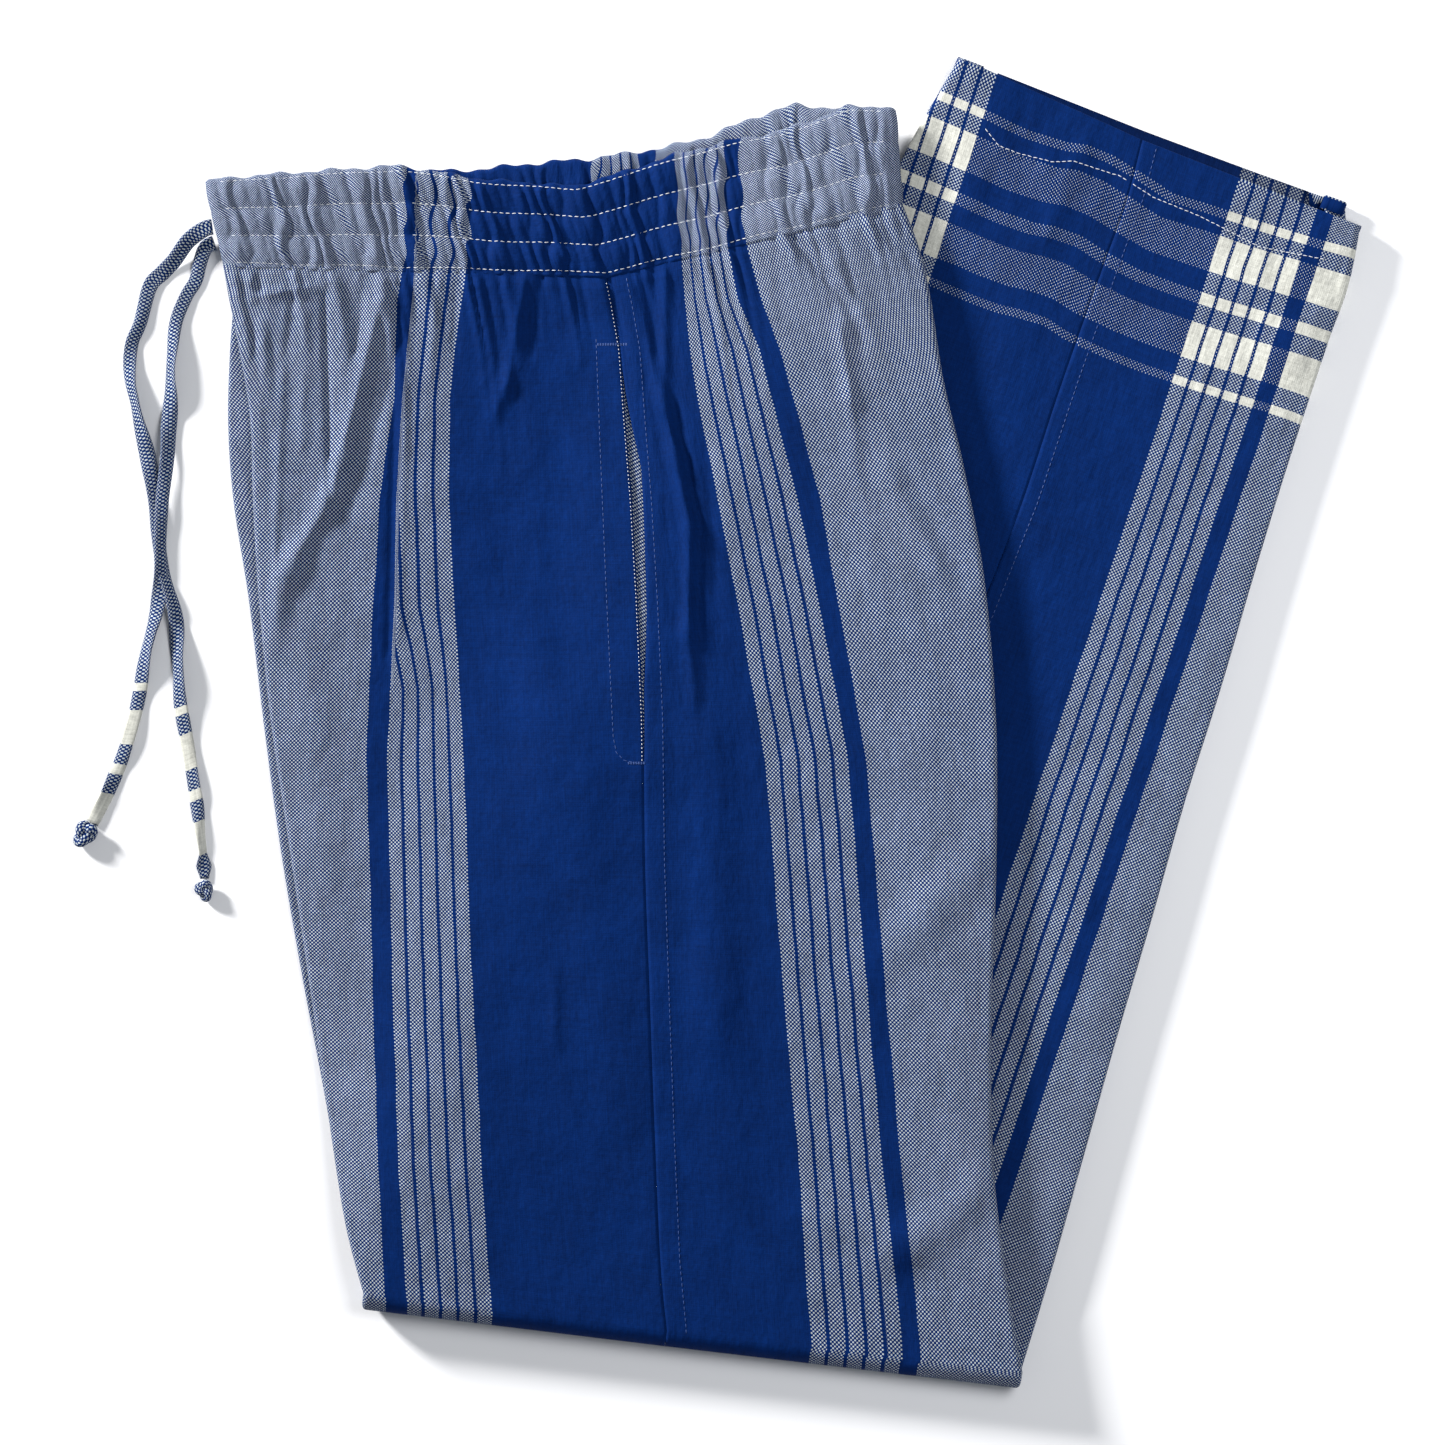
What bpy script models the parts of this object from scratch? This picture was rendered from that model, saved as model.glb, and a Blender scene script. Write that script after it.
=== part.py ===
"""Kikoy drawstring trousers, laid on their side and folded up at the knee.

The left leg lies on the right leg, side seams up, fronts to the left.
The lower legs swing under the upper legs and come out on the right.
All sizes below are in millimetres, and the mesh maker turns them to metres.
"""
import math

import bmesh
import bpy
from mathutils import Vector

for old_object in list(bpy.data.objects):
    bpy.data.objects.remove(old_object, do_unlink=True)

# Cloth and stack sizes
MM = 0.001
WALL = 1.2
SEAM_GAP = 0.3
LEG_STACK = 7.6
LEG_GAP = 0.4
TOP_CURL = 2.0
UNDER_CURL = 1.6
TOP_TAIL = 8.0
UNDER_TAIL = 15.0
CORE_LOW = 2.1
CORE_HIGH = 5.3
CORE_PARTS = (0.12, 0.17, 0.23, 0.3, 0.4, 0.5, 0.6, 0.7, 0.8, 0.88)
# Share of the core's height and inset along its rim, a groove between two layers
CORE_RIM = ((0.53, 1.0), (0.6, 0.0), (0.8, 0.4), (1.0, 2.2))
TURN_HEIGHT = LEG_STACK + LEG_GAP / 2
UPPER_BASE = LEG_STACK + LEG_GAP
TURN_OUT = Vector((-0.119, -0.993, 0.0))

# Waist casing
CASING_WALL = 2.6
CASING_HEIGHT = 36.0
GATHERS_FRONT = 22
GATHERS_BACK = 18
GATHER_LIFT = 0.9
POINTS_PER_GATHER = 4
HALF_WAIST = 295.0
# Height on the casing and share of the gathers' rise, low at the sewn rows
CASING_WAVES = (
    (0.0, 0.3),
    (5.5, 1.0),
    (12.0, 0.5),
    (18.0, 1.0),
    (24.0, 0.5),
    (30.0, 1.0),
    (34.6, 0.55),
)
CASING_WAVES_UNDER = ((0.0, 0.0), (18.0, 0.4), (34.6, 0.6))

# Pocket in the left side seam
POCKET_TOP = 150.0
POCKET_BOTTOM = -17.0
POCKET_OPEN = 5.0
POCKET_LIFT = 1.0
FACING_WALL = 1.0
FACING_WIDTH = 20.0

# Hem
HEM_DEPTH = 24.0
HEM_LIFT = 0.5

# Drawstring
TIE_WIDTH = 6.5
TIE_THICK = 1.3
TIE_STEP = 10.0

# Upper legs from the casing to the knee, front crease, side seam and back crease.
# peek is how far the under leg shows outside the front crease.
UPPER_COLUMNS = ("front_x", "front_y", "peek", "seam_x", "seam_y", "back_x", "back_y")
UPPER_ROWS = (
    (-241.0, 197.6, -1.0, -75.9, 193.3, 51.4, 223.0),
    (-238.2, 182.1, -1.0, -73.1, 180.0, 58.7, 203.6),
    (-233.9, 160.6, 4.5, -69.7, 160.6, 63.6, 182.1),
    (-229.2, 130.5, 10.0, -67.5, 130.5, 69.0, 147.7),
    (-228.1, 96.1, 8.8, -64.7, 96.1, 78.0, 109.0),
    (-225.5, 53.1, 4.7, -62.1, 53.1, 86.6, 61.7),
    (-220.4, 1.5, 3.6, -59.8, 1.5, 91.6, 1.5),
    (-212.2, -54.4, 4.3, -59.1, -58.7, 91.7, -63.0),
    (-204.0, -110.3, 3.0, -57.0, -118.9, 89.6, -127.5),
    (-195.9, -166.2, 0.5, -54.8, -179.1, 90.5, -189.8),
    (-188.1, -213.5, 0.0, -52.5, -230.7, 97.0, -243.6),
    (-180.0, -244.3, 0.0, -49.7, -260.2, 102.9, -278.3),
)

# Lower legs from the knee to the hem
LOWER_COLUMNS = ("front_x", "front_y", "seam_x", "seam_y", "back_x", "back_y")
LOWER_ROWS = (
    (-180.0, -244.3, -49.7, -260.2, 102.9, -278.3),
    (-155.4, -197.6, -28.6, -216.1, 116.1, -235.0),
    (-130.1, -143.4, -6.7, -164.9, 130.3, -184.5),
    (-105.1, -89.7, 15.3, -113.7, 144.3, -134.4),
    (-79.8, -35.5, 37.2, -63.0, 159.1, -84.2),
    (-54.4, 18.3, 59.1, -11.8, 173.3, -33.9),
    (-29.0, 72.5, 81.1, 39.3, 189.0, 15.7),
    (-3.7, 126.2, 101.6, 90.9, 203.6, 65.6),
    (21.3, 180.2, 119.3, 144.0, 218.8, 115.0),
    (46.7, 234.1, 137.8, 196.3, 235.2, 164.6),
    (60.8, 260.4, 147.3, 222.5, 243.9, 189.3),
    (75.9, 286.2, 154.6, 250.5, 248.8, 213.5),
)
# The left leg's hem lies a little past the right leg's
FAR_HEM_ROW = (77.2, 285.6, 155.9, 254.4, 242.7, 223.4)

# Top edges of the two halves of the casing
CASING_COLUMNS = ("x", "y")
CASING_LEFT_TOP = (
    (-248.5, 233.0),
    (-224.7, 235.0),
    (-194.6, 237.1),
    (-164.5, 238.9),
    (-130.1, 233.3),
    (-89.2, 230.3),
    (-66.4, 236.9),
    (-45.8, 243.8),
    (-21.3, 250.0),
    (-2.4, 253.5),
    (16.1, 259.5),
    (28.2, 263.8),
    (48.3, 263.4),
)
CASING_RIGHT_TOP = (
    (-248.5, 232.0),
    (-224.7, 234.0),
    (-194.6, 236.0),
    (-164.5, 238.2),
    (-138.7, 237.1),
    (-108.6, 240.2),
    (-82.8, 242.3),
    (-51.4, 247.0),
    (-30.7, 252.2),
    (-10.5, 260.8),
    (6.2, 265.5),
    (28.2, 263.0),
    (48.3, 262.8),
)

# Largest folds on the upper leg, from the first point to the second
FOLD_COLUMNS = ("x1", "y1", "x2", "y2", "half_width", "height")
UPPER_FOLDS = (
    (-227.0, 186.0, -229.0, 146.0, 5.0, -0.8),
    (-197.0, 184.0, -194.5, 98.0, 5.0, -0.8),
    (-173.5, 178.0, -192.0, 112.0, 8.0, 2.2),
    (-192.0, 112.0, -220.0, 36.0, 10.0, 1.8),
    (-111.0, 190.0, -121.0, 135.0, 6.0, 1.4),
    (-130.0, 68.0, -96.0, 12.0, 16.0, 0.9),
    (-63.5, 188.0, -50.5, 135.0, 5.0, 1.6),
    (-50.5, 135.0, -40.0, 84.0, 7.0, 2.8),
    (-40.0, 84.0, -39.0, 14.0, 8.0, 2.4),
    (-32.0, -10.0, -28.0, -180.0, 14.0, 1.2),
    (0.0, 213.0, 28.0, 178.0, 5.0, -0.8),
    (25.0, 168.0, 31.0, 120.0, 7.0, 1.4),
    (17.0, 219.0, 40.0, 200.0, 5.0, -0.8),
    (48.0, 102.0, 66.0, 69.0, 10.0, 1.2),
    (78.0, -65.0, 48.0, -95.0, 14.0, 1.2),
    (86.0, -200.0, 40.0, -218.0, 16.0, 1.0),
)
LOWER_FOLDS = (
    (122.0, 240.0, 60.0, 70.0, 16.0, 0.8),
    (196.0, 220.0, 150.0, 60.0, 20.0, 0.8),
)

# Routes of the two ends of the drawstring, height is the tie's middle
TIE_COLUMNS = ("x", "y", "z")
TIE_A_ROUTE = (
    (-245.5, 213.8, 5.7),
    (-249.2, 212.8, 5.6),
    (-256.0, 208.0, 4.4),
    (-262.0, 200.0, 2.2),
    (-267.5, 194.5, 0.9),
    (-273.0, 188.5, 0.8),
    (-277.0, 173.0, 0.8),
    (-281.0, 163.0, 0.8),
    (-281.5, 148.0, 0.8),
    (-278.5, 135.0, 0.8),
    (-273.5, 113.0, 0.8),
    (-270.5, 95.5, 0.8),
    (-269.5, 82.0, 0.8),
    (-267.0, 65.0, 0.8),
    (-262.0, 48.0, 0.8),
    (-261.0, 25.0, 0.8),
    (-259.5, 7.5, 0.8),
    (-256.0, -13.5, 0.8),
    (-252.5, -36.0, 0.8),
    (-250.0, -58.0, 0.8),
    (-249.4, -67.0, 0.8),
)
TIE_B_ROUTE = (
    (-245.0, 207.2, 2.0),
    (-248.8, 205.2, 1.7),
    (-251.3, 199.0, 1.2),
    (-253.3, 191.0, 0.9),
    (-257.5, 184.0, 0.8),
    (-262.0, 172.0, 0.8),
    (-263.5, 156.0, 0.8),
    (-264.0, 140.0, 0.9),
    (-265.0, 125.0, 1.4),
    (-265.5, 112.0, 2.5),
    (-267.5, 96.0, 2.6),
    (-268.3, 80.0, 2.6),
    (-268.0, 66.0, 2.6),
    (-269.0, 53.0, 2.4),
    (-272.5, 39.0, 1.2),
    (-275.5, 25.0, 0.8),
    (-278.5, 8.0, 0.8),
    (-283.0, -9.0, 0.8),
    (-289.0, -25.0, 0.8),
    (-295.0, -37.5, 0.8),
    (-298.0, -43.0, 0.8),
)

# Colours and roughness of each piece
LOOK_COLUMNS = ("name", "red", "green", "blue", "roughness")
LOOKS = (
    ("cloth_left_front", 0.22, 0.27, 0.42, 0.85),
    ("cloth_left_back", 0.25, 0.30, 0.45, 0.85),
    ("cloth_right_front", 0.10, 0.16, 0.36, 0.85),
    ("cloth_right_back", 0.16, 0.22, 0.40, 0.85),
    ("cloth_hidden", 0.03, 0.08, 0.26, 0.9),
    ("cloth_casing", 0.24, 0.29, 0.44, 0.85),
    ("cloth_facing", 0.34, 0.38, 0.48, 0.88),
    ("cloth_tie", 0.36, 0.41, 0.52, 0.85),
)


def clamp01(value):
    """Keep a number between 0 and 1."""
    return max(0.0, min(1.0, value))


def ease(value):
    """Smooth step from 0 to 1."""
    value = clamp01(value)
    return value * value * (3.0 - 2.0 * value)


def read_row(columns, rows, place):
    """Smoothly read a table of rows at a fractional row number."""
    last = len(rows) - 1
    place = max(0.0, min(float(last), place))
    at = min(int(place), last - 1)
    part = place - at
    before = rows[max(at - 1, 0)]
    start = rows[at]
    end = rows[at + 1]
    after = rows[min(at + 2, last)]
    values = {}
    for index, name in enumerate(columns):
        p0 = before[index]
        p1 = start[index]
        p2 = end[index]
        p3 = after[index]
        bend = 2 * p0 - 5 * p1 + 4 * p2 - p3
        jerk = 3 * p1 - p0 - 3 * p2 + p3
        curve = 2 * p1 + (p2 - p0) * part + bend * part ** 2 + jerk * part ** 3
        values[name] = 0.5 * curve
    return values


def read_line(rows, x):
    """Straight reading of an x, y table."""
    for start, end in zip(rows, rows[1:]):
        if x <= end[0]:
            part = clamp01((x - start[0]) / (end[0] - start[0]))
            return start[1] + (end[1] - start[1]) * part
    return rows[-1][1]


def past_lower_edge(x, y):
    """Distance to the right of the lower legs' left edge."""
    return (x + 180.8) * 0.9055 - (y + 251.3) * 0.4244


def under_base(x, y):
    """Height of the under leg's underside: on the floor, or on the lower legs."""
    return UPPER_BASE * ease((past_lower_edge(x, y) + 62.0) / 60.0)


def top_base(x, y, inward):
    """Base of the top leg, which bridges the step more softly."""
    low = under_base(x, y)
    soft = UPPER_BASE * ease((past_lower_edge(x, y) + 90.0) / 88.0)
    share = ease(inward / 40.0)
    return low + max(0.0, soft - low) * share


def fold_lift(rows, x, y):
    """Sum of the fold table's ridges and grooves at a point."""
    total = 0.0
    for x1, y1, x2, y2, half_width, height in rows:
        run_x = x2 - x1
        run_y = y2 - y1
        length = math.hypot(run_x, run_y)
        along = ((x - x1) * run_x + (y - y1) * run_y) / length
        across = abs((x - x1) * run_y - (y - y1) * run_x) / length
        beyond = max(0.0, -along, along - length)
        far = math.hypot(across, beyond * 0.6)
        if far < 2.0 * half_width:
            total += height * 0.5 * (1.0 + math.cos(math.pi * far / (2.0 * half_width)))
    return max(-0.7, min(3.2, total))


def pocket_lift(x, y):
    """Rise of the cloth round the pocket in the left side seam."""
    row = read_row(UPPER_COLUMNS, UPPER_ROWS, row_at_height(y))
    across = 1.0 - ease((abs(x - row["seam_x"]) - 13.0) / 24.0)
    above = ease((POCKET_TOP + 22.0 - y) / 20.0)
    below = ease((y - POCKET_BOTTOM + 22.0) / 20.0)
    return POCKET_LIFT * across * above * below


def row_at_height(y):
    """Fractional upper row whose side seam is at height y."""
    seam_column = UPPER_COLUMNS.index("seam_y")
    for index in range(len(UPPER_ROWS) - 1):
        high = UPPER_ROWS[index][seam_column]
        low = UPPER_ROWS[index + 1][seam_column]
        if y >= low:
            return index + clamp01((high - y) / (high - low))
    return float(len(UPPER_ROWS) - 1)


def pocket_opening(y):
    """Width of the pocket's slit at height y."""
    if y > POCKET_TOP or y < POCKET_BOTTOM:
        return 0.0
    part = (POCKET_TOP - y) / (POCKET_TOP - POCKET_BOTTOM)
    return POCKET_OPEN * math.sin(math.pi * part) ** 0.7


def gather_wave(place, count):
    """Rise of the gathers, place runs from 0 to 1 over count gathers."""
    turn = place * count
    number = int(turn)
    strength = 0.62 + 0.38 * math.sin(2.4 * number + 0.7)
    return GATHER_LIFT * strength * 0.5 * (1.0 - math.cos(2.0 * math.pi * turn))


def stations():
    """Cross sections down the upper leg, round the knee and up the lower leg."""
    rows = []
    upper = (0.0, 0.35, 0.8, 1.5, 2.2, 2.6, 3, 3.5, 4, 4.5, 5, 5.5, 6, 6.5, 7, 7.5, 8, 8.5, 9, 9.5)
    upper += (10, 10.5, 11)
    for place in upper:
        row = read_row(UPPER_COLUMNS, UPPER_ROWS, place)
        row.update(kind="upper", place=place, turn=0.0)
        rows.append(row)
    for turn in (30, 60, 90, 120, 150):
        row = read_row(UPPER_COLUMNS, UPPER_ROWS, 11)
        row.update(kind="turn", place=11.0, turn=math.radians(turn))
        rows.append(row)
    for place in (0.0, 0.6, 2, 3.5, 5, 6, 7, 8, 9, 9.7, 10.3, 11):
        row = read_row(LOWER_COLUMNS, LOWER_ROWS, place)
        row.update(kind="lower", place=place, turn=math.pi, peek=0.0)
        rows.append(row)
    return rows


def set_point(station, x, y, height, inward, on_top):
    """World point of a cloth point at a height in the leg's stack."""
    if station["kind"] == "upper":
        base = top_base(x, y, inward) if on_top else under_base(x, y)
        return Vector((x, y, base + height))
    if station["kind"] == "lower":
        return Vector((x, y, LEG_STACK - height))
    reach = height + LEG_GAP / 2
    up = Vector((0.0, 0.0, math.cos(station["turn"])))
    out = TURN_OUT * math.sin(station["turn"])
    return Vector((x, y, TURN_HEIGHT)) + (up + out) * reach


def station_line(station, side, top_leg):
    """Crease point, seam point and length of one panel's section."""
    crease = Vector((station[side + "_x"], station[side + "_y"]))
    seam = Vector((station["seam_x"], station["seam_y"]))
    if side == "front" and not top_leg:
        crease.x -= station["peek"]
    return crease, seam, (seam - crease).length


def hem_rise(station, top_leg):
    """Extra thickness of the turned-up hem."""
    if station["kind"] != "lower" or top_leg:
        return 0.0
    left = (11.0 - station["place"]) * 55.0
    return HEM_LIFT if left <= HEM_DEPTH * 1.45 else 0.0


def lower_mask(x, y):
    """Share of the lower leg's folds, none under the upper leg."""
    place = row_at_height(y)
    row = read_row(UPPER_COLUMNS, UPPER_ROWS, place)
    clear = x - row["back_x"]
    if y > 223.0:
        clear = x - 51.4
    return ease((clear - 14.0) / 22.0)


def panel_columns(station, side, top_leg):
    """Fractions from the seam to the crease for the outside and the inside."""
    dense = top_leg and station["kind"] == "upper" and station["place"] < 2.5
    gathers = GATHERS_FRONT if side == "front" else GATHERS_BACK
    plain = 16 if side == "front" else 14
    if not top_leg:
        plain = 11
    if station["kind"] != "upper":
        plain = 9
    count = gathers * 3 if dense else plain
    outside = [index / count for index in range(count + 1)]
    inside = [index / plain for index in range(plain + 1)]
    return outside, inside, gathers


def face_lift(station, top_leg, x, y, inward):
    """Folds that move the whole wall."""
    near_crease = ease((inward - 1.0) / 9.0)
    if top_leg and station["kind"] == "upper":
        fade = ease((11.0 - station["place"]) / 0.8)
        folds = fold_lift(UPPER_FOLDS, x, y)
        return (folds + pocket_lift(x, y)) * near_crease * fade
    if not top_leg and station["kind"] == "lower":
        return -fold_lift(LOWER_FOLDS, x, y) * near_crease * lower_mask(x, y)
    return 0.0


def section(station, side, top_leg):
    """Outside and inside point rows of one panel's section."""
    crease, seam, length = station_line(station, side, top_leg)
    run = (seam - crease) / length
    curl = TOP_CURL if top_leg else UNDER_CURL
    tail = TOP_TAIL if top_leg else UNDER_TAIL
    outer = LEG_STACK if top_leg else 0.0
    inner = outer - WALL if top_leg else outer + WALL
    toward = -1.0 if top_leg else 1.0
    edge = SEAM_GAP / 2
    if top_leg and side == "back" and station["kind"] == "upper":
        edge += pocket_opening(station["seam_y"])
    outside_parts, inside_parts, gathers = panel_columns(station, side, top_leg)
    rise = hem_rise(station, top_leg)

    def flat(part, level, is_outside):
        inward = length - edge - (length - edge - curl) * part
        spot = crease + run * inward
        height = level + face_lift(station, top_leg, spot.x, spot.y, inward)
        if top_leg and is_outside and station["kind"] == "upper":
            decay = ease((2.6 - station["place"]) / 2.6) * ease(inward / 6.0)
            height += gather_wave(part, gathers) * decay
        if is_outside:
            height -= rise
        return set_point(station, spot.x, spot.y, height, inward, top_leg)

    def bent(inward, height):
        spot = crease + run * inward
        return set_point(station, spot.x, spot.y, height, inward, top_leg)

    outside = [(part, flat(part, outer, True)) for part in outside_parts]
    inside = [(part, flat(part, inner, False)) for part in inside_parts]
    centre = outer + toward * curl
    for step in (1, 2, 3, 4):
        angle = math.pi * step / 4.0
        reach = math.sin(angle)
        level = -toward * math.cos(angle)
        if step < 4:
            outside.append((1 + step / 8, bent(curl - curl * reach, centre + curl * level)))
            small = curl - WALL
            inside.append((1 + step / 8, bent(curl - small * reach, centre + small * level)))
    end_outer = centre + toward * curl
    end_inner = centre + toward * (curl - WALL)
    for share, place in ((1.5, curl), (2.0, curl + tail)):
        outside.append((share, bent(place, end_outer)))
        inside.append((share, bent(place, end_inner)))
    return outside, inside


def add_row(points, row):
    """Store a row of points and return its shares and indices."""
    stored = []
    for share, point in row:
        stored.append((share, len(points)))
        points.append(point)
    return stored


def join_rows(faces, row_a, row_b):
    """Faces between two rows whose point counts may differ."""
    a = 0
    b = 0
    while a < len(row_a) - 1 or b < len(row_b) - 1:
        next_a = row_a[a + 1][0] if a < len(row_a) - 1 else 99.0
        next_b = row_b[b + 1][0] if b < len(row_b) - 1 else 99.0
        if abs(next_a - next_b) < 1e-6:
            quad = (row_a[a][1], row_a[a + 1][1], row_b[b + 1][1], row_b[b][1])
            faces.append(quad)
            a += 1
            b += 1
        elif next_a < next_b:
            faces.append((row_a[a][1], row_a[a + 1][1], row_b[b][1]))
            a += 1
        else:
            faces.append((row_a[a][1], row_b[b + 1][1], row_b[b][1]))
            b += 1


def two_sheets(sections):
    """Closed wall from the outside and inside rows of each section."""
    points = []
    faces = []
    rows = []
    for outside, inside in sections:
        rows.append((add_row(points, outside), add_row(points, inside)))
    for (out_a, in_a), (out_b, in_b) in zip(rows, rows[1:]):
        join_rows(faces, out_a, out_b)
        join_rows(faces, in_b, in_a)
        faces.append((out_a[0][1], out_b[0][1], in_b[0][1], in_a[0][1]))
        faces.append((out_a[-1][1], in_a[-1][1], in_b[-1][1], out_b[-1][1]))
    join_rows(faces, rows[0][1], rows[0][0])
    join_rows(faces, rows[-1][0], rows[-1][1])
    return points, faces


def make_material(name):
    """Plain cloth colour for one piece."""
    for label, red, green, blue, roughness in LOOKS:
        if label == name:
            break
    material = bpy.data.materials.get(name)
    if material is None:
        material = bpy.data.materials.new(name)
        material.use_nodes = True
        shader = material.node_tree.nodes["Principled BSDF"]
        shader.inputs["Base Color"].default_value = (red, green, blue, 1.0)
        shader.inputs["Roughness"].default_value = roughness
        shader.inputs["Metallic"].default_value = 0.0
    return material


def make_object(name, points, faces, look):
    """Closed mesh object in metres, faces turned outwards."""
    mesh = bpy.data.meshes.new(name)
    mesh.from_pydata([tuple(point * MM) for point in points], [], faces)
    work = bmesh.new()
    work.from_mesh(mesh)
    bmesh.ops.recalc_face_normals(work, faces=work.faces)
    for face in work.faces:
        face.smooth = True
    work.to_mesh(mesh)
    work.free()
    piece = bpy.data.objects.new(name, mesh)
    piece.data.materials.append(make_material(look))
    bpy.context.scene.collection.objects.link(piece)
    return piece


def make_panel(name, side, top_leg, look):
    """One leg panel from the casing, round the knee, to the hem."""
    rows = stations()
    if top_leg:
        far = dict(zip(LOWER_COLUMNS, FAR_HEM_ROW))
        rows[-1].update(far)
    sections = [section(row, side, top_leg) for row in rows]
    points, faces = two_sheets(sections)
    return make_object(name, points, faces, look)


def core_row(station, front, seam, back, is_top):
    """Upper or lower face of the hidden layers, with its half of each rim."""
    front_run = (seam - front).normalized()
    back_run = (seam - back).normalized()
    clear = UNDER_CURL + UNDER_TAIL + 1.8
    row = []
    for order, (share, inset) in enumerate(CORE_RIM):
        share = share if is_top else 1.0 - share
        spot = front + front_run * (clear + inset)
        row.append((order / 100, core_point(station, spot, share, clear + inset)))
    for part in CORE_PARTS:
        spot, inset = between_creases(front, seam, back, part)
        row.append((part, core_point(station, spot, 1.0 if is_top else 0.0, inset)))
    for order, (share, inset) in enumerate(reversed(CORE_RIM)):
        share = share if is_top else 1.0 - share
        spot = back + back_run * (clear + inset)
        row.append((0.95 + order / 100, core_point(station, spot, share, clear + inset)))
    return row


def make_hidden_layers():
    """The two inner faces of the legs, as one rounded solid with grooved rims."""
    rows = stations()[1:]
    rows[-1].update(dict(zip(LOWER_COLUMNS, FAR_HEM_ROW)))
    sections = []
    for station in rows:
        front = Vector((station["front_x"], station["front_y"]))
        back = Vector((station["back_x"], station["back_y"]))
        seam = Vector((station["seam_x"], station["seam_y"]))
        top = core_row(station, front, seam, back, True)
        bottom = core_row(station, front, seam, back, False)
        sections.append((top, bottom))
    points, faces = two_sheets(sections)
    return make_object("hidden_layers", points, faces, "cloth_hidden")


def between_creases(front, seam, back, part):
    """Point on a section by share of its width, and its distance to a crease."""
    front_length = (seam - front).length
    back_length = (back - seam).length
    total = front_length + back_length
    along = part * total
    inset = min(along, total - along)
    if along < front_length:
        return front.lerp(seam, along / front_length), inset
    return seam.lerp(back, (along - front_length) / back_length), inset


def core_point(station, spot, share, inset):
    """Point of the hidden layers, between the under and the top leg."""
    height = CORE_LOW + (CORE_HIGH - CORE_LOW) * share
    if station["kind"] == "upper":
        low = under_base(spot.x, spot.y)
        high = top_base(spot.x, spot.y, inset)
        return Vector((spot.x, spot.y, low + (high - low) * share + height))
    return set_point(station, spot.x, spot.y, height, inset, True)


def casing_lower(place):
    """Lower edge of the casing, over the side seam."""
    first = read_row(UPPER_COLUMNS, UPPER_ROWS, 0)
    front = Vector((first["front_x"], first["front_y"]))
    seam = Vector((first["seam_x"], first["seam_y"]))
    back = Vector((first["back_x"], first["back_y"]))
    share = GATHERS_FRONT / (GATHERS_FRONT + GATHERS_BACK)
    if place < share:
        return front.lerp(seam, place / share)
    return seam.lerp(back, (place - share) / (1.0 - share))


def casing_point(top_edge, place, end, angle, along, depth, is_left):
    """Point of the casing, whose ends turn down or up to meet the other half."""
    corner = LEG_STACK / 2 - SEAM_GAP / 2
    reach = (corner - depth) * math.sin(angle)
    level = (corner - depth) * math.cos(angle)
    width = HALF_WAIST - 2 * corner
    across = corner + place * width
    if end:
        across = corner - reach if end < 0 else HALF_WAIST - corner + reach
    share = across / HALF_WAIST
    lower = casing_lower(share)
    upper_x = top_edge[0][0] + (top_edge[-1][0] - top_edge[0][0]) * share
    upper = Vector((upper_x, read_line(top_edge, upper_x)))
    lower += (upper - lower).normalized() * SEAM_GAP
    spot = lower.lerp(upper, along / CASING_HEIGHT)
    base = under_base(spot.x, spot.y) + LEG_STACK / 2
    if is_left:
        return Vector((spot.x, spot.y, base + SEAM_GAP / 2 + level))
    return Vector((spot.x, spot.y, base - SEAM_GAP / 2 - level))


def casing_sections(top_edge, is_left):
    """Sections of half the casing from centre front to centre back."""
    gathers = GATHERS_FRONT + GATHERS_BACK
    count = gathers * (POINTS_PER_GATHER if is_left else 3)
    columns = [(0.0, -1, angle) for angle in (90, 60, 30)]
    columns += [(index / count, 0, 0) for index in range(count + 1)]
    columns += [(1.0, 1, angle) for angle in (30, 60, 90)]
    waved = CASING_WAVES if is_left else CASING_WAVES_UNDER
    sections = []
    for place, end, degrees in columns:
        angle = math.radians(degrees)
        calm = ease(min(place, 1.0 - place) * 30.0)
        wave = gather_wave(place, gathers) * calm
        ripple = CASING_HEIGHT * (1.0 + 0.012 * math.sin(40.0 * place))
        rounded = [(along, wave * strength) for along, strength in waved]
        plain = [(along, 0.0) for along in (0.0, 17.0, 34.6)]
        if not is_left:
            rounded, plain = plain, rounded
        outside = []
        inside = []
        for along, lift in rounded:
            point = casing_point(top_edge, place, end, angle, along, -lift, is_left)
            outside.append((along, point))
        for along, lift in plain:
            depth = CASING_WALL + lift
            point = casing_point(top_edge, place, end, angle, along, depth, is_left)
            inside.append((along, point))
        outer_rim = casing_point(top_edge, place, end, angle, ripple, 0.9, is_left)
        inner_rim = casing_point(top_edge, place, end, angle, ripple, 1.7, is_left)
        outside.append((36.0, outer_rim))
        inside.append((36.0, inner_rim))
        sections.append((outside, inside))
    return sections


def make_casing(name, top_edge, is_left):
    """Gathered half of the waist casing."""
    sections = casing_sections(top_edge, is_left)
    points, faces = two_sheets(sections)
    return make_object(name, points, faces, "cloth_casing")


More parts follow.
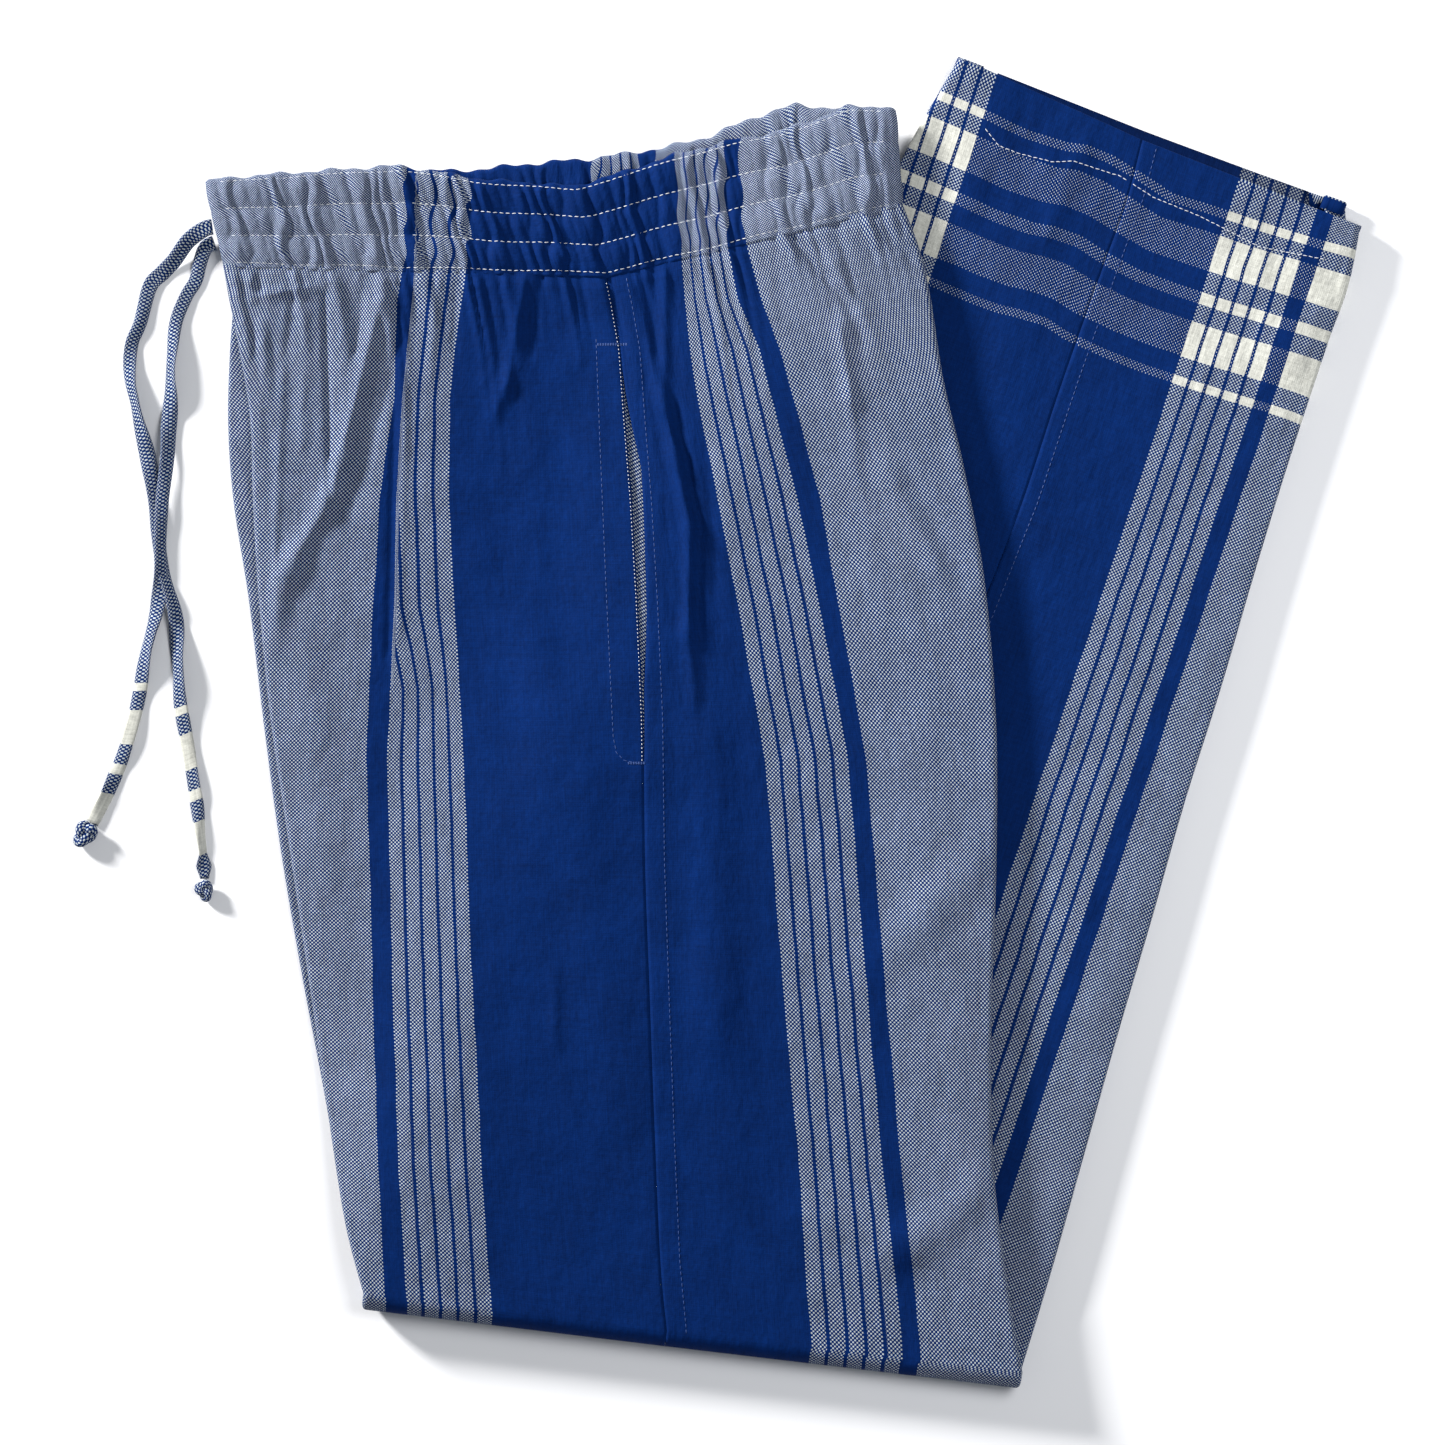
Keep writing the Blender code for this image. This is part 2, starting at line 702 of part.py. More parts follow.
def make_facing():
    """Striped facing that shows in the pocket's slit."""
    sections = []
    for step in range(13):
        y = POCKET_TOP + 6.0 - (POCKET_TOP - POCKET_BOTTOM + 12.0) * step / 12
        row = read_row(UPPER_COLUMNS, UPPER_ROWS, row_at_height(y))
        outside = []
        inside = []
        for share in (0.0, 0.25, 0.5, 0.75, 1.0):
            x = row["seam_x"] + 2.0 + FACING_WIDTH * (share - 0.5)
            base = top_base(x, y, 60.0) + CORE_HIGH + 2 * SEAM_GAP
            inside.append((share, Vector((x, y, base))))
            outside.append((share, Vector((x, y, base + FACING_WALL))))
        sections.append((outside, inside))
    points, faces = two_sheets(sections)
    return make_object("pocket_facing_left", points, faces, "cloth_facing")


def smooth_route(rows, step):
    """Evenly spaced points on a smooth curve through the route."""
    fine = []
    for index in range((len(rows) - 1) * 20 + 1):
        values = read_row(TIE_COLUMNS, rows, index / 20)
        fine.append(Vector((values["x"], values["y"], values["z"])))
    total = sum((b - a).length for a, b in zip(fine, fine[1:]))
    count = round(total / step)
    route = [fine[0]]
    walked = 0.0
    for a, b in zip(fine, fine[1:]):
        stretch = (b - a).length
        while len(route) < count and walked + stretch >= len(route) * total / count:
            part = (len(route) * total / count - walked) / stretch
            route.append(a.lerp(b, part))
        walked += stretch
    route.append(fine[-1])
    return route


def make_tie(name, rows):
    """Flat cloth tie as a curve with rounded edges."""
    curve = bpy.data.curves.new(name, "CURVE")
    curve.dimensions = "3D"
    curve.twist_mode = "Z_UP"
    curve.extrude = (TIE_WIDTH - TIE_THICK) / 2 * MM
    curve.bevel_depth = TIE_THICK / 2 * MM
    curve.bevel_resolution = 2
    curve.use_fill_caps = True
    route = smooth_route(rows, TIE_STEP)
    spline = curve.splines.new("POLY")
    spline.points.add(len(route) - 1)
    for index, point in enumerate(route):
        spline.points[index].co = (*(point * MM), 1.0)
        spline.points[index].tilt = math.pi / 2
    piece = bpy.data.objects.new(name, curve)
    piece.data.materials.append(make_material("cloth_tie"))
    bpy.context.scene.collection.objects.link(piece)
    return piece


def make_knot(name, centre, turn, half_length, half_width, half_height):
    """Small knot, a lump with a soft waist."""
    points = []
    faces = []
    rings = 8
    sides = 12
    points.append(Vector((0.0, -half_length, 0.0)))
    for ring in range(1, rings):
        polar = math.pi * ring / rings
        swell = 1.0 + 0.16 * math.cos(4.0 * polar)
        for side in range(sides):
            angle = 2.0 * math.pi * side / sides
            x = half_width * swell * math.sin(polar) * math.cos(angle)
            z = half_height * math.sin(polar) * math.sin(angle)
            points.append(Vector((x, -half_length * math.cos(polar), z)))
    points.append(Vector((0.0, half_length, 0.0)))
    for side in range(sides):
        after = (side + 1) % sides
        faces.append((0, 1 + after, 1 + side))
        last = 1 + (rings - 2) * sides
        faces.append((len(points) - 1, last + side, last + after))
        for ring in range(rings - 2):
            a = 1 + ring * sides
            b = a + sides
            faces.append((a + side, a + after, b + after, b + side))
    placed = []
    for point in points:
        x = point.x * math.cos(turn) - point.y * math.sin(turn)
        y = point.x * math.sin(turn) + point.y * math.cos(turn)
        placed.append(Vector((x, y, point.z)) + Vector(centre))
    return make_object(name, placed, faces, "cloth_tie")


make_panel("left_front", "front", True, "cloth_left_front")
make_panel("left_back", "back", True, "cloth_left_back")
make_panel("right_front", "front", False, "cloth_right_front")
make_panel("right_back", "back", False, "cloth_right_back")
make_hidden_layers()
make_casing("waist_casing_left", CASING_LEFT_TOP, True)
make_casing("waist_casing_right", CASING_RIGHT_TOP, False)
make_facing()
make_tie("drawstring_a", TIE_A_ROUTE)
make_tie("drawstring_b", TIE_B_ROUTE)
make_knot("knot_a", (-249.2, -71.9, 2.3), 0.0, 4.6, 4.2, 2.3)
make_knot("knot_b", (-300.6, -47.6, 2.3), -0.5, 5.0, 4.6, 2.3)
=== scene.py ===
# %% [markdown]
# # Folded kikoy trousers
# Striped cotton drawstring trousers lie on their side, folded up at the knee.
# Cloth is best modelled as thin sheets that follow the solids of the frame, so
# every sheet below is worked out from the same seam and crease lines as they are.

# %% Load the frame
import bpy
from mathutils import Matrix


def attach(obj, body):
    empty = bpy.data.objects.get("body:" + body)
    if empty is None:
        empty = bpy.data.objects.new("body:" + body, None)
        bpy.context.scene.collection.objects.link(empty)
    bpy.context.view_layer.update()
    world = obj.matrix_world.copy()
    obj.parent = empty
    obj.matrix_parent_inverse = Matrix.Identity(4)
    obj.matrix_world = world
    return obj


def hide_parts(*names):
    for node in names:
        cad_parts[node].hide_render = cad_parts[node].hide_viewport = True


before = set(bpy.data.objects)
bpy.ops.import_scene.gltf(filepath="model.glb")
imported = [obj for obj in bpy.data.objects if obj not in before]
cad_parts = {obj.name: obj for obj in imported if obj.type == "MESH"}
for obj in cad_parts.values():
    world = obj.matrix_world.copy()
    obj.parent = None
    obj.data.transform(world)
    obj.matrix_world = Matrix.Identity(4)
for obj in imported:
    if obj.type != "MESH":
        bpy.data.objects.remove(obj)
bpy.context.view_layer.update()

import math

import bmesh
import bpy
import numpy as np
from mathutils import Vector
from mathutils.bvhtree import BVHTree

print("frame nodes:", sorted(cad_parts))

# %% [markdown]
# ## Camera
# The trousers were seen from straight above, waist at the top. A long lens from
# far away keeps the upper and the lower cloth at nearly the same scale.

# %% Camera
# Sizes below are in millimetres, and MM turns them to metres
MM = 0.001
FRAME_WIDTH = 621.35
SENSOR_WIDTH = 36.0
CAMERA_LENS = 120.0
CAMERA_CENTRE = (-25.8, 0.4)
SIGHT_LEVEL = 9.0


def add_object(name, data):
    """New object in the scene."""
    new = bpy.data.objects.new(name, data)
    bpy.context.scene.collection.objects.link(new)
    return new


camera_data = bpy.data.cameras.new("camera")
camera_data.lens = CAMERA_LENS
camera_data.sensor_width = SENSOR_WIDTH
camera_data.clip_end = 20.0
camera = add_object("camera", camera_data)
sight = FRAME_WIDTH * CAMERA_LENS / SENSOR_WIDTH
camera.location = (CAMERA_CENTRE[0] * MM, CAMERA_CENTRE[1] * MM, (sight + SIGHT_LEVEL) * MM)
bpy.context.scene.camera = camera
print("camera height, m:", round(camera.location.z, 3))

# %% [markdown]
# ## Floor and light
# A plain pale floor and soft light. The main light comes low from the upper left,
# so that folds, gathers and the step between the legs cast soft shade to the right.

# %% Floor and light
bpy.context.scene.view_settings.view_transform = "Standard"


def new_material(name, roughness):
    """New material, and the shader that gives its looks."""
    material = bpy.data.materials.new(name)
    material.use_nodes = True
    shader = material.node_tree.nodes["Principled BSDF"]
    shader.inputs["Roughness"].default_value = roughness
    return material, shader


bpy.ops.object.select_all(action="DESELECT")
bpy.ops.mesh.primitive_plane_add(size=8.0, location=(0.0, 0.0, -0.0002))
floor = bpy.context.object
floor.name = "floor"
pale, shader = new_material("pale_floor", 0.9)
shader.inputs["Base Color"].default_value = (0.86, 0.86, 0.87, 1.0)
floor.data.materials.append(pale)

world = bpy.data.worlds.new("soft_room")
world.use_nodes = True
room = world.node_tree.nodes["Background"].inputs
room["Color"].default_value = (0.88, 0.93, 1.0, 1.0)
room["Strength"].default_value = 0.24
bpy.context.scene.world = world


def area_light(name, place, target, size, power, colour):
    """Soft square light that points at a target."""
    data = bpy.data.lights.new(name, "AREA")
    data.size = size
    data.energy = power
    data.color = colour
    light = add_object(name, data)
    light.location = place
    light.rotation_euler = (Vector(target) - Vector(place)).to_track_quat("-Z", "Y").to_euler()


area_light("window_left", (-2.4, 1.7, 0.95), (0.1, 0, 0), 0.45, 235.0, (1.0, 0.99, 0.98))
area_light("ceiling", (0.42, 0.10, 0.85), (0.10, 0.02, 0), 0.5, 6.0, (0.97, 0.98, 1.0))

# %% [markdown]
# ## The striped cloth
# Kikoy is a plain weave: warp and weft threads take turns on top, cell by cell.
# A white warp under a navy weft reads as grey, navy on navy as deep blue, and
# where white weft bands cross near the hem the white warp turns cream. So the
# material works out which thread is on top, and takes that thread's own colour.
# A flat grey and a flat blue would be quicker, but would lose the salt and pepper
# look up close, which is what tells this cloth from a print.

# %% Sizes and colours of the weave
# Width of a thread, the gaps beside it, and the widths of the stripes
THREAD = 0.82
WARP_GAP = 0.11
WEFT_GAP = 0.33
# How far the noise sways the threads to the side and along
SWAY_ACROSS = 1.1
SWAY_ALONG = 0.9
BLUE_HALF = 60.0
STRIP_PITCH = 7.5
STRIP_LINE = 1.5
BAND_END = BLUE_HALF + 5 * STRIP_PITCH - STRIP_LINE
NAVY_END = BAND_END + 7.6
# Distance from the hem where each white weft band begins and ends
HEM_BANDS = ((14.0, 18.0), (25.5, 41.5), (51.0, 56.2), (64.5, 80.5), (89.0, 92.8))
# The same for the ends of the drawstring, from the knot
TIE_BANDS = ((0.0, 14.5), (23.5, 28.0), (37.0, 52.5), (61.0, 64.5))
NAVY_THREAD = (0.0003, 0.0135, 0.086)
WHITE_THREAD = (0.385, 0.43, 0.45)
# White warp under white weft, where no navy thread cools it
CREAM = (0.50, 0.50, 0.45)


class Wires:
    """Short way to add and join shader nodes."""

    def __init__(self, material):
        self.tree = material.node_tree
        self.nodes = material.node_tree.nodes

    def node(self, kind, **settings):
        new = self.nodes.new(kind)
        for key, value in settings.items():
            setattr(new, key, value)
        return new

    def join(self, source, target):
        self.tree.links.new(source, target)

    def fill(self, slot, value):
        if isinstance(value, (int, float, tuple)):
            slot.default_value = value
        else:
            self.join(value, slot)

    def math(self, operation, *values):
        new = self.node("ShaderNodeMath", operation=operation)
        for slot, value in enumerate(values):
            self.fill(new.inputs[slot], value)
        return new.outputs[0]

    def mix(self, share, first, second, **settings):
        new = self.node("ShaderNodeMix", data_type="RGBA", **settings)
        for slot, value in ((0, share), (6, first), (7, second)):
            self.fill(new.inputs[slot], value)
        return new.outputs[2]

    def bump(self, height, strength, distance, before=None):
        new = self.node("ShaderNodeBump")
        new.inputs["Strength"].default_value = strength
        new.inputs["Distance"].default_value = distance
        self.join(height, new.inputs["Height"])
        if before is not None:
            self.join(before, new.inputs["Normal"])
        return new.outputs["Normal"]

    def between(self, value, low, high):
        above = self.math("GREATER_THAN", value, low)
        below = self.math("LESS_THAN", value, high)
        return self.math("MULTIPLY", above, below)

    def noise(self, vector, scale, detail=2.0, stretch=(1.0, 1.0)):
        mapping = self.node("ShaderNodeMapping")
        mapping.inputs["Scale"].default_value = (scale * stretch[0], scale * stretch[1], 1.0)
        noise = self.node("ShaderNodeTexNoise", noise_dimensions="2D")
        noise.inputs["Scale"].default_value = 1.0
        noise.inputs["Detail"].default_value = detail
        self.join(vector, mapping.inputs["Vector"])
        self.join(mapping.outputs["Vector"], noise.inputs["Vector"])
        return noise.outputs["Fac"]


# %% Threads that show white
def white_warp_threads(wires, warp):
    """1 where the warp is white: the five strips of each band and the ground."""
    side = wires.math("ABSOLUTE", warp)
    in_band = wires.between(side, BLUE_HALF, BAND_END)
    strip = wires.math("MODULO", wires.math("SUBTRACT", side, BLUE_HALF), STRIP_PITCH)
    in_strip = wires.math("LESS_THAN", strip, STRIP_PITCH - STRIP_LINE)
    ground = wires.math("GREATER_THAN", side, NAVY_END)
    return wires.math("ADD", wires.math("MULTIPLY", in_band, in_strip), ground)


def white_weft_threads(wires, weft, bands):
    """1 where the weft is white."""
    total = wires.between(weft, *bands[0])
    for low, high in bands[1:]:
        total = wires.math("ADD", total, wires.between(weft, low, high))
    return total


def threads_on_top(wires, warp, weft):
    """Share of warp and of weft that shows: a plain weave check with small gaps."""
    across = wires.math("DIVIDE", warp, THREAD)
    along = wires.math("DIVIDE", weft, THREAD)
    cells = wires.math("ADD", wires.math("FLOOR", across), wires.math("FLOOR", along))
    check = wires.math("GREATER_THAN", wires.math("PINGPONG", cells, 1.0), 0.5)
    from_side = wires.math("PINGPONG", across, 0.5)
    from_end = wires.math("PINGPONG", along, 0.5)
    edge = wires.math("MINIMUM", from_side, from_end)
    warp_top = wires.math("MULTIPLY", check, wires.math("GREATER_THAN", edge, WARP_GAP))
    middle = wires.math("GREATER_THAN", from_side, WEFT_GAP)
    inner = wires.math("GREATER_THAN", from_end, WEFT_GAP / 2)
    weft_cell = wires.math("SUBTRACT", 1.0, check)
    return warp_top, wires.math("MULTIPLY", weft_cell, wires.math("MULTIPLY", middle, inner))


# %% Uneven dye and the relief of the weave
# Heights of the bump, in metres
THREAD_RISE = 0.00025
CRUMPLE_RISE = 0.002


def thread_shade(wires, cloth):
    """Slubs along the warp and the weft, and slow cloudy shade, round 1."""
    total = None
    # Noise scale, stretch across and along the warp, and how far it spreads from 1
    for scale, stretch, spread in (
        (1500.0, (1.0, 0.04), 0.42),
        (1500.0, (0.04, 1.0), 0.34),
        (1900.0, (1.0, 1.0), 0.36),
        (620.0, (1.0, 0.8), 0.42),
        (55.0, (1.0, 0.7), 0.34),
    ):
        value = wires.noise(cloth, scale, 2.0, stretch)
        part = wires.math("MULTIPLY", wires.math("SUBTRACT", value, 0.5), spread)
        total = part if total is None else wires.math("ADD", total, part)
    return wires.math("ADD", total, 1.0)


def weave_relief(wires, shader, warp, weft, cloth, crumple):
    """Rounded threads and a faint crumple as bump."""
    across = wires.math("PINGPONG", wires.math("DIVIDE", warp, THREAD), 0.5)
    along = wires.math("PINGPONG", wires.math("DIVIDE", weft, THREAD), 0.5)
    threads = wires.bump(wires.math("MULTIPLY", across, along), 0.5, THREAD_RISE)
    soft = wires.noise(cloth, 120.0, 5.0, (1.0, 0.6))
    wires.join(wires.bump(soft, crumple, CRUMPLE_RISE, threads), shader.inputs["Normal"])


# %% Cloth material
def kikoy_material(name, bands, all_white_warp=False, shade=1.0, crumple=0.45):
    """Plain weave with warp stripes and white weft bands."""
    # shade scales every thread colour: 0.55 on the inside copy is painted shade, 0.95 on the tie is a
    # slightly darker tone of its cloth
    def with_tone_and_painted_shade(colour):
        return (*[v * shade for v in colour], 1.0)

    material, shader = new_material(name, 0.8)
    wires = Wires(material)
    cloth = wires.node("ShaderNodeUVMap", uv_map="cloth").outputs["UV"]
    split = wires.node("ShaderNodeSeparateXYZ")
    wires.join(cloth, split.inputs[0])
    sway = wires.math("SUBTRACT", wires.noise(cloth, 45.0, 2.0), 0.5)
    warp = wires.math("MULTIPLY", split.outputs[0], 1.0 / MM)
    warp = wires.math("ADD", warp, wires.math("MULTIPLY", sway, SWAY_ACROSS))
    weft = wires.math("MULTIPLY", split.outputs[1], 1.0 / MM)
    weft = wires.math("ADD", weft, wires.math("MULTIPLY", sway, SWAY_ALONG))
    warp_top, weft_top = threads_on_top(wires, warp, weft)
    white_warp = 1.0 if all_white_warp else white_warp_threads(wires, warp)
    white_weft = white_weft_threads(wires, weft, bands)
    both = wires.math("MULTIPLY", white_weft, white_warp)
    white = wires.math("MULTIPLY", warp_top, white_warp)
    white = wires.math("MAXIMUM", white, wires.math("MULTIPLY", weft_top, white_weft))
    colour = wires.mix(white, with_tone_and_painted_shade(NAVY_THREAD), with_tone_and_painted_shade(WHITE_THREAD))
    colour = wires.mix(both, colour, with_tone_and_painted_shade(CREAM))
    colour = wires.mix(1.0, colour, thread_shade(wires, cloth), blend_type="MULTIPLY")
    wires.join(colour, shader.inputs["Base Color"])
    weave_relief(wires, shader, warp, weft, cloth, crumple)
    for slot, value in (("Specular IOR Level", 0.05), ("Sheen Weight", 0.02),
                        ("Sheen Roughness", 0.45), ("Sheen Tint", (0.35, 0.55, 1.0, 1.0))):
        shader.inputs[slot].default_value = value
    return material


kikoy = kikoy_material("kikoy_cloth", HEM_BANDS)
# The inside copy is darkened to 0.55 as painted shade, for the shadow between the layers of the folded
# legs
kikoy_inside_painted_shade = kikoy_material("kikoy_cloth_inside_painted_shade", HEM_BANDS, shade=0.55)
kikoy_tie = kikoy_material("kikoy_tie", TIE_BANDS, all_white_warp=True, shade=0.95, crumple=0.15)
print("cloth materials:", kikoy.name, kikoy_inside_painted_shade.name, kikoy_tie.name)

# %% [markdown]
# ## Sheets from grids
# Every piece of cloth here is a grid of points with two cloth sizes at each point:
# across the stripes and up from the hem, kept as a UV map named cloth. Solidify
# then gives the grid its thickness inwards, so that it stays on its own surface.

# %% Sheet helpers
QUICK = 1.0
CLOTH = 0.6


def grid_object(name, points, warp, weft, closed=False):
    """Mesh from a grid of points in millimetres with its cloth sizes as UV."""
    rows, columns = points.shape[:2]
    index = np.arange(rows * columns).reshape(rows, columns)
    if closed:
        index = np.concatenate((index, index[:, :1]), 1)
    corners = (index[:-1, :-1], index[:-1, 1:], index[1:, 1:], index[1:, :-1])
    faces = np.stack([part.ravel() for part in corners], 1)
    mesh = bpy.data.meshes.new(name)
    mesh.from_pydata((points.reshape(-1, 3) * MM).tolist(), [], faces.tolist())
    layer = mesh.uv_layers.new(name="cloth")
    order = np.empty(len(mesh.loops), dtype=np.int32)
    mesh.loops.foreach_get("vertex_index", order)
    cloth = np.stack((np.broadcast_to(warp, (rows, columns)).ravel(),
                      np.broadcast_to(weft, (rows, columns)).ravel()), 1) * MM
    layer.data.foreach_set("uv", cloth[order].ravel().astype(np.float32))
    return add_object(name, mesh)


def select_only(piece):
    """Select one piece alone."""
    bpy.ops.object.select_all(action="DESELECT")
    bpy.context.view_layer.objects.active = piece
    piece.select_set(True)


def smooth_faces(piece, material):
    """Smooth faces and one material."""
    piece.data.polygons.foreach_set("use_smooth", [True] * len(piece.data.polygons))
    piece.data.materials.append(material)


def finish_sheet(piece, material, flip):
    """Turn the sheet's faces out, give it its thickness inwards, return its area."""
    if flip:
        piece.data.flip_normals()
    smooth_faces(piece, material)
    wall = piece.modifiers.new("thickness", "SOLIDIFY")
    wall.thickness = CLOTH * MM
    wall.offset = -1.0
    select_only(piece)
    bpy.ops.object.modifier_apply(modifier=wall.name)
    area = sum(face.area for face in piece.data.polygons) / 2.0
    heights = [vertex.co.z / MM for vertex in piece.data.vertices]
    print(piece.name, "faces", len(piece.data.polygons), "area m2", round(area, 4),
          "height mm", round(min(heights), 2), "to", round(max(heights), 2))
    return area


# %% [markdown]
# ## The two ends of the drawstring
# A flat tie of the same cloth comes out of the casing at the centre front, and its
# two ends lie on the floor. They are limp ribbons, folded from a strip of cloth, so
# each is a flat tube swept along its route. A bevelled curve can't fold and twist
# as unevenly as cloth does, so the section turns a little along the way.

# %% Routes of the drawstring
# x, y and height of each point, in millimetres
TIE_A_ROUTE = (
    (-245.5, 213.8, 5.7), (-249.2, 212.8, 5.6), (-256, 208, 4.4), (-262, 200, 2.2),
    (-267.5, 194.5, 0.9), (-273, 188.5, 0.8), (-277, 173, 0.8), (-281, 163, 0.8),
    (-281.5, 148, 0.8), (-278.5, 135, 0.8), (-273.5, 113, 0.8), (-270.5, 95.5, 0.8),
    (-269.5, 82, 0.8), (-267, 65, 0.8), (-262, 48, 0.8), (-261, 25, 0.8),
    (-259.5, 7.5, 0.8), (-256, -13.5, 0.8), (-252.5, -36, 0.8), (-250, -58, 0.8),
    (-249.4, -67, 0.8),
)
TIE_B_ROUTE = (
    (-245, 207.2, 2), (-248.8, 205.2, 1.7), (-251.3, 199, 1.2), (-253.3, 191, 0.9),
    (-257.5, 184, 0.8), (-262, 172, 0.8), (-263.5, 156, 0.8), (-264, 140, 0.9),
    (-265, 125, 1.4), (-265.5, 112, 2.5), (-267.5, 96, 2.6), (-268.3, 80, 2.6),
    (-268, 66, 2.6), (-269, 53, 2.4), (-272.5, 39, 1.2), (-275.5, 25, 0.8),
    (-278.5, 8, 0.8), (-283, -9, 0.8), (-289, -25, 0.8), (-295, -37.5, 0.8),
    (-298, -43, 0.8),
)
TIE_WIDTH = 6.8
TIE_THICK = 1.5
TIE_SIDES = 20
# Least height of a tie or a knot over the floor
CLEAR = 0.05


def read_rows(table, places):
    """Smooth reading of a table at fractional row numbers."""
    places = np.clip(np.asarray(places, float), 0.0, len(table) - 1)
    at = np.minimum(places.astype(int), len(table) - 2)
    part = (places - at)[:, None]
    before = table[np.maximum(at - 1, 0)]
    start = table[at]
    end = table[at + 1]
    after = table[np.minimum(at + 2, len(table) - 1)]
    bend = 2 * before - 5 * start + 4 * end - after
    jerk = 3 * start - before - 3 * end + after
    return 0.5 * (2 * start + (end - before) * part + bend * part ** 2 + jerk * part ** 3)


def walked_lengths(points):
    """Distance from the first point of a path to each of its points."""
    steps = np.linalg.norm(np.diff(points, axis=0), axis=1)
    return np.concatenate(((0.0,), np.cumsum(steps)))


def even_route(route, step):
    """Evenly spaced points in millimetres along a smooth curve, and its length."""
    table = np.array(route)
    fine = read_rows(table, np.linspace(0.0, len(table) - 1, len(table) * 30))
    walked = walked_lengths(fine)
    stops = np.linspace(0.0, walked[-1], int(walked[-1] / step) + 1)
    points = np.stack([np.interp(stops, walked, fine[:, k]) for k in range(3)], 1)
    return points, stops


def frame_of_path(ahead):
    """Unit directions across and up for each point of a path."""
    ahead = ahead / np.linalg.norm(ahead, axis=1)[:, None]
    across = np.cross(ahead, (0.0, 0.0, 1.0))
    across /= np.linalg.norm(across, axis=1)[:, None]
    return across, np.cross(across, ahead)


def rings(path, across, up, wide, high):
    """Grid with one ring of points round each point of a path."""
    offset = across[:, None, :] * wide[:, :, None] + up[:, None, :] * high[:, :, None]
    return path[:, None, :] + offset


def tie_section(sides):
    """Rounded flat section of the folded strip, as unit points and cloth sizes."""
    angle = np.linspace(0.0, 2.0 * np.pi, sides, endpoint=False)
    flat = np.sign(np.cos(angle)) * np.abs(np.cos(angle)) ** 0.75
    thick = np.sign(np.sin(angle)) * np.abs(np.sin(angle)) ** 0.9
    return flat, thick, angle / (2.0 * np.pi) * 2.0 * TIE_WIDTH


def tie_ribbon(name, route, seed, end_taper, flare):
    """Limp folded ribbon along a route, which twists and narrows a little."""
    points, walked = even_route(route, 1.4)
    total = walked[-1]
    across, up = frame_of_path(np.gradient(points, axis=0))
    twist = 0.55 * np.sin(walked / 21.0 + seed) + 0.35 * np.sin(walked / 9.0 + 2.0 * seed)
    twist *= np.clip(walked / 25.0, 0.0, 1.0) * np.clip((total - walked) / 20.0, 0.0, 1.0)
    width = TIE_WIDTH / 2 * (0.94 + 0.10 * np.sin(walked / 15.0 + 1.3 * seed))
    left = total - walked
    width *= 1.0 - end_taper * np.clip(1.0 - (left - flare) / 22.0, 0.0, 1.0)
    width *= 1.0 + 0.9 * (flare > 0.0) * np.exp(-((left - 5.5) / 3.5) ** 2)
    thick = TIE_THICK / 2 * (1.0 + 0.25 * np.sin(walked / 7.0 + seed))
    flat, rise, around = tie_section(TIE_SIDES)
    cos, sin = np.cos(twist)[:, None], np.sin(twist)[:, None]
    side, face = cos * across + sin * up, -sin * across + cos * up
    crown = 0.35 * np.sin(walked / 5.0 + seed)[:, None] * flat ** 2
    grid = rings(points, side, face, width[:, None] * flat, thick[:, None] * rise + crown)
    low = grid[:, :, 2].min(axis=1)
    grid[:, :, 2] += np.maximum(0.0, CLEAR - low)[:, None]
    weft = (left - flare)[:, None] + 0.5 * np.sin(around[None, :] * 0.9)
    piece = grid_object(name, grid, around[None, :], weft, closed=True)
    close_ends(piece, len(points), TIE_SIDES)
    smooth_faces(piece, kikoy_tie)
    print(name, "length mm", round(float(total), 1))
    return piece, total * MM, points * MM


def save_mesh(work, piece):
    """Turn all faces out, and put an edited mesh back into its piece."""
    bmesh.ops.recalc_face_normals(work, faces=work.faces)
    work.to_mesh(piece.data)
    work.free()


def close_ends(piece, rows, sides):
    """Cap the two ends of a tube."""
    work = bmesh.new()
    work.from_mesh(piece.data)
    work.verts.ensure_lookup_table()
    layer = work.loops.layers.uv.active
    for ring in (range(sides), range((rows - 1) * sides, rows * sides)):
        cap = work.faces.new([work.verts[index] for index in ring])
        cap.smooth = True
        for loop in cap.loops:
            near = [other for other in loop.vert.link_loops if other.face is not cap]
            loop[layer].uv = near[0][layer].uv
    save_mesh(work, piece)


tie_a, length_a, path_a = tie_ribbon("drawstring_a_cloth", TIE_A_ROUTE, 0.4, 0.5, 10.5)
tie_b, length_b, path_b = tie_ribbon("drawstring_b_cloth", TIE_B_ROUTE, 2.1, 0.2, 0.0)

# %% [markdown]
# ## The knots
# Each end is tied in one tight overhand knot. Its strand runs over and under
# itself like a small trefoil, so the knot is a tube round that closed path, pressed
# a little flat because it lies on the floor, with a short frayed tail beyond it.

# %% Knots
def knot_path(turns, size):
    """Closed trefoil path, one row for each step."""
    x = (np.sin(turns) + 2.0 * np.sin(2.0 * turns)) * size[0] / 3.0
    y = (np.cos(turns) - 2.0 * np.cos(2.0 * turns)) * size[1] / 3.0
    z = -np.sin(3.0 * turns) * size[2]
    return np.stack((x, y, z), 1)


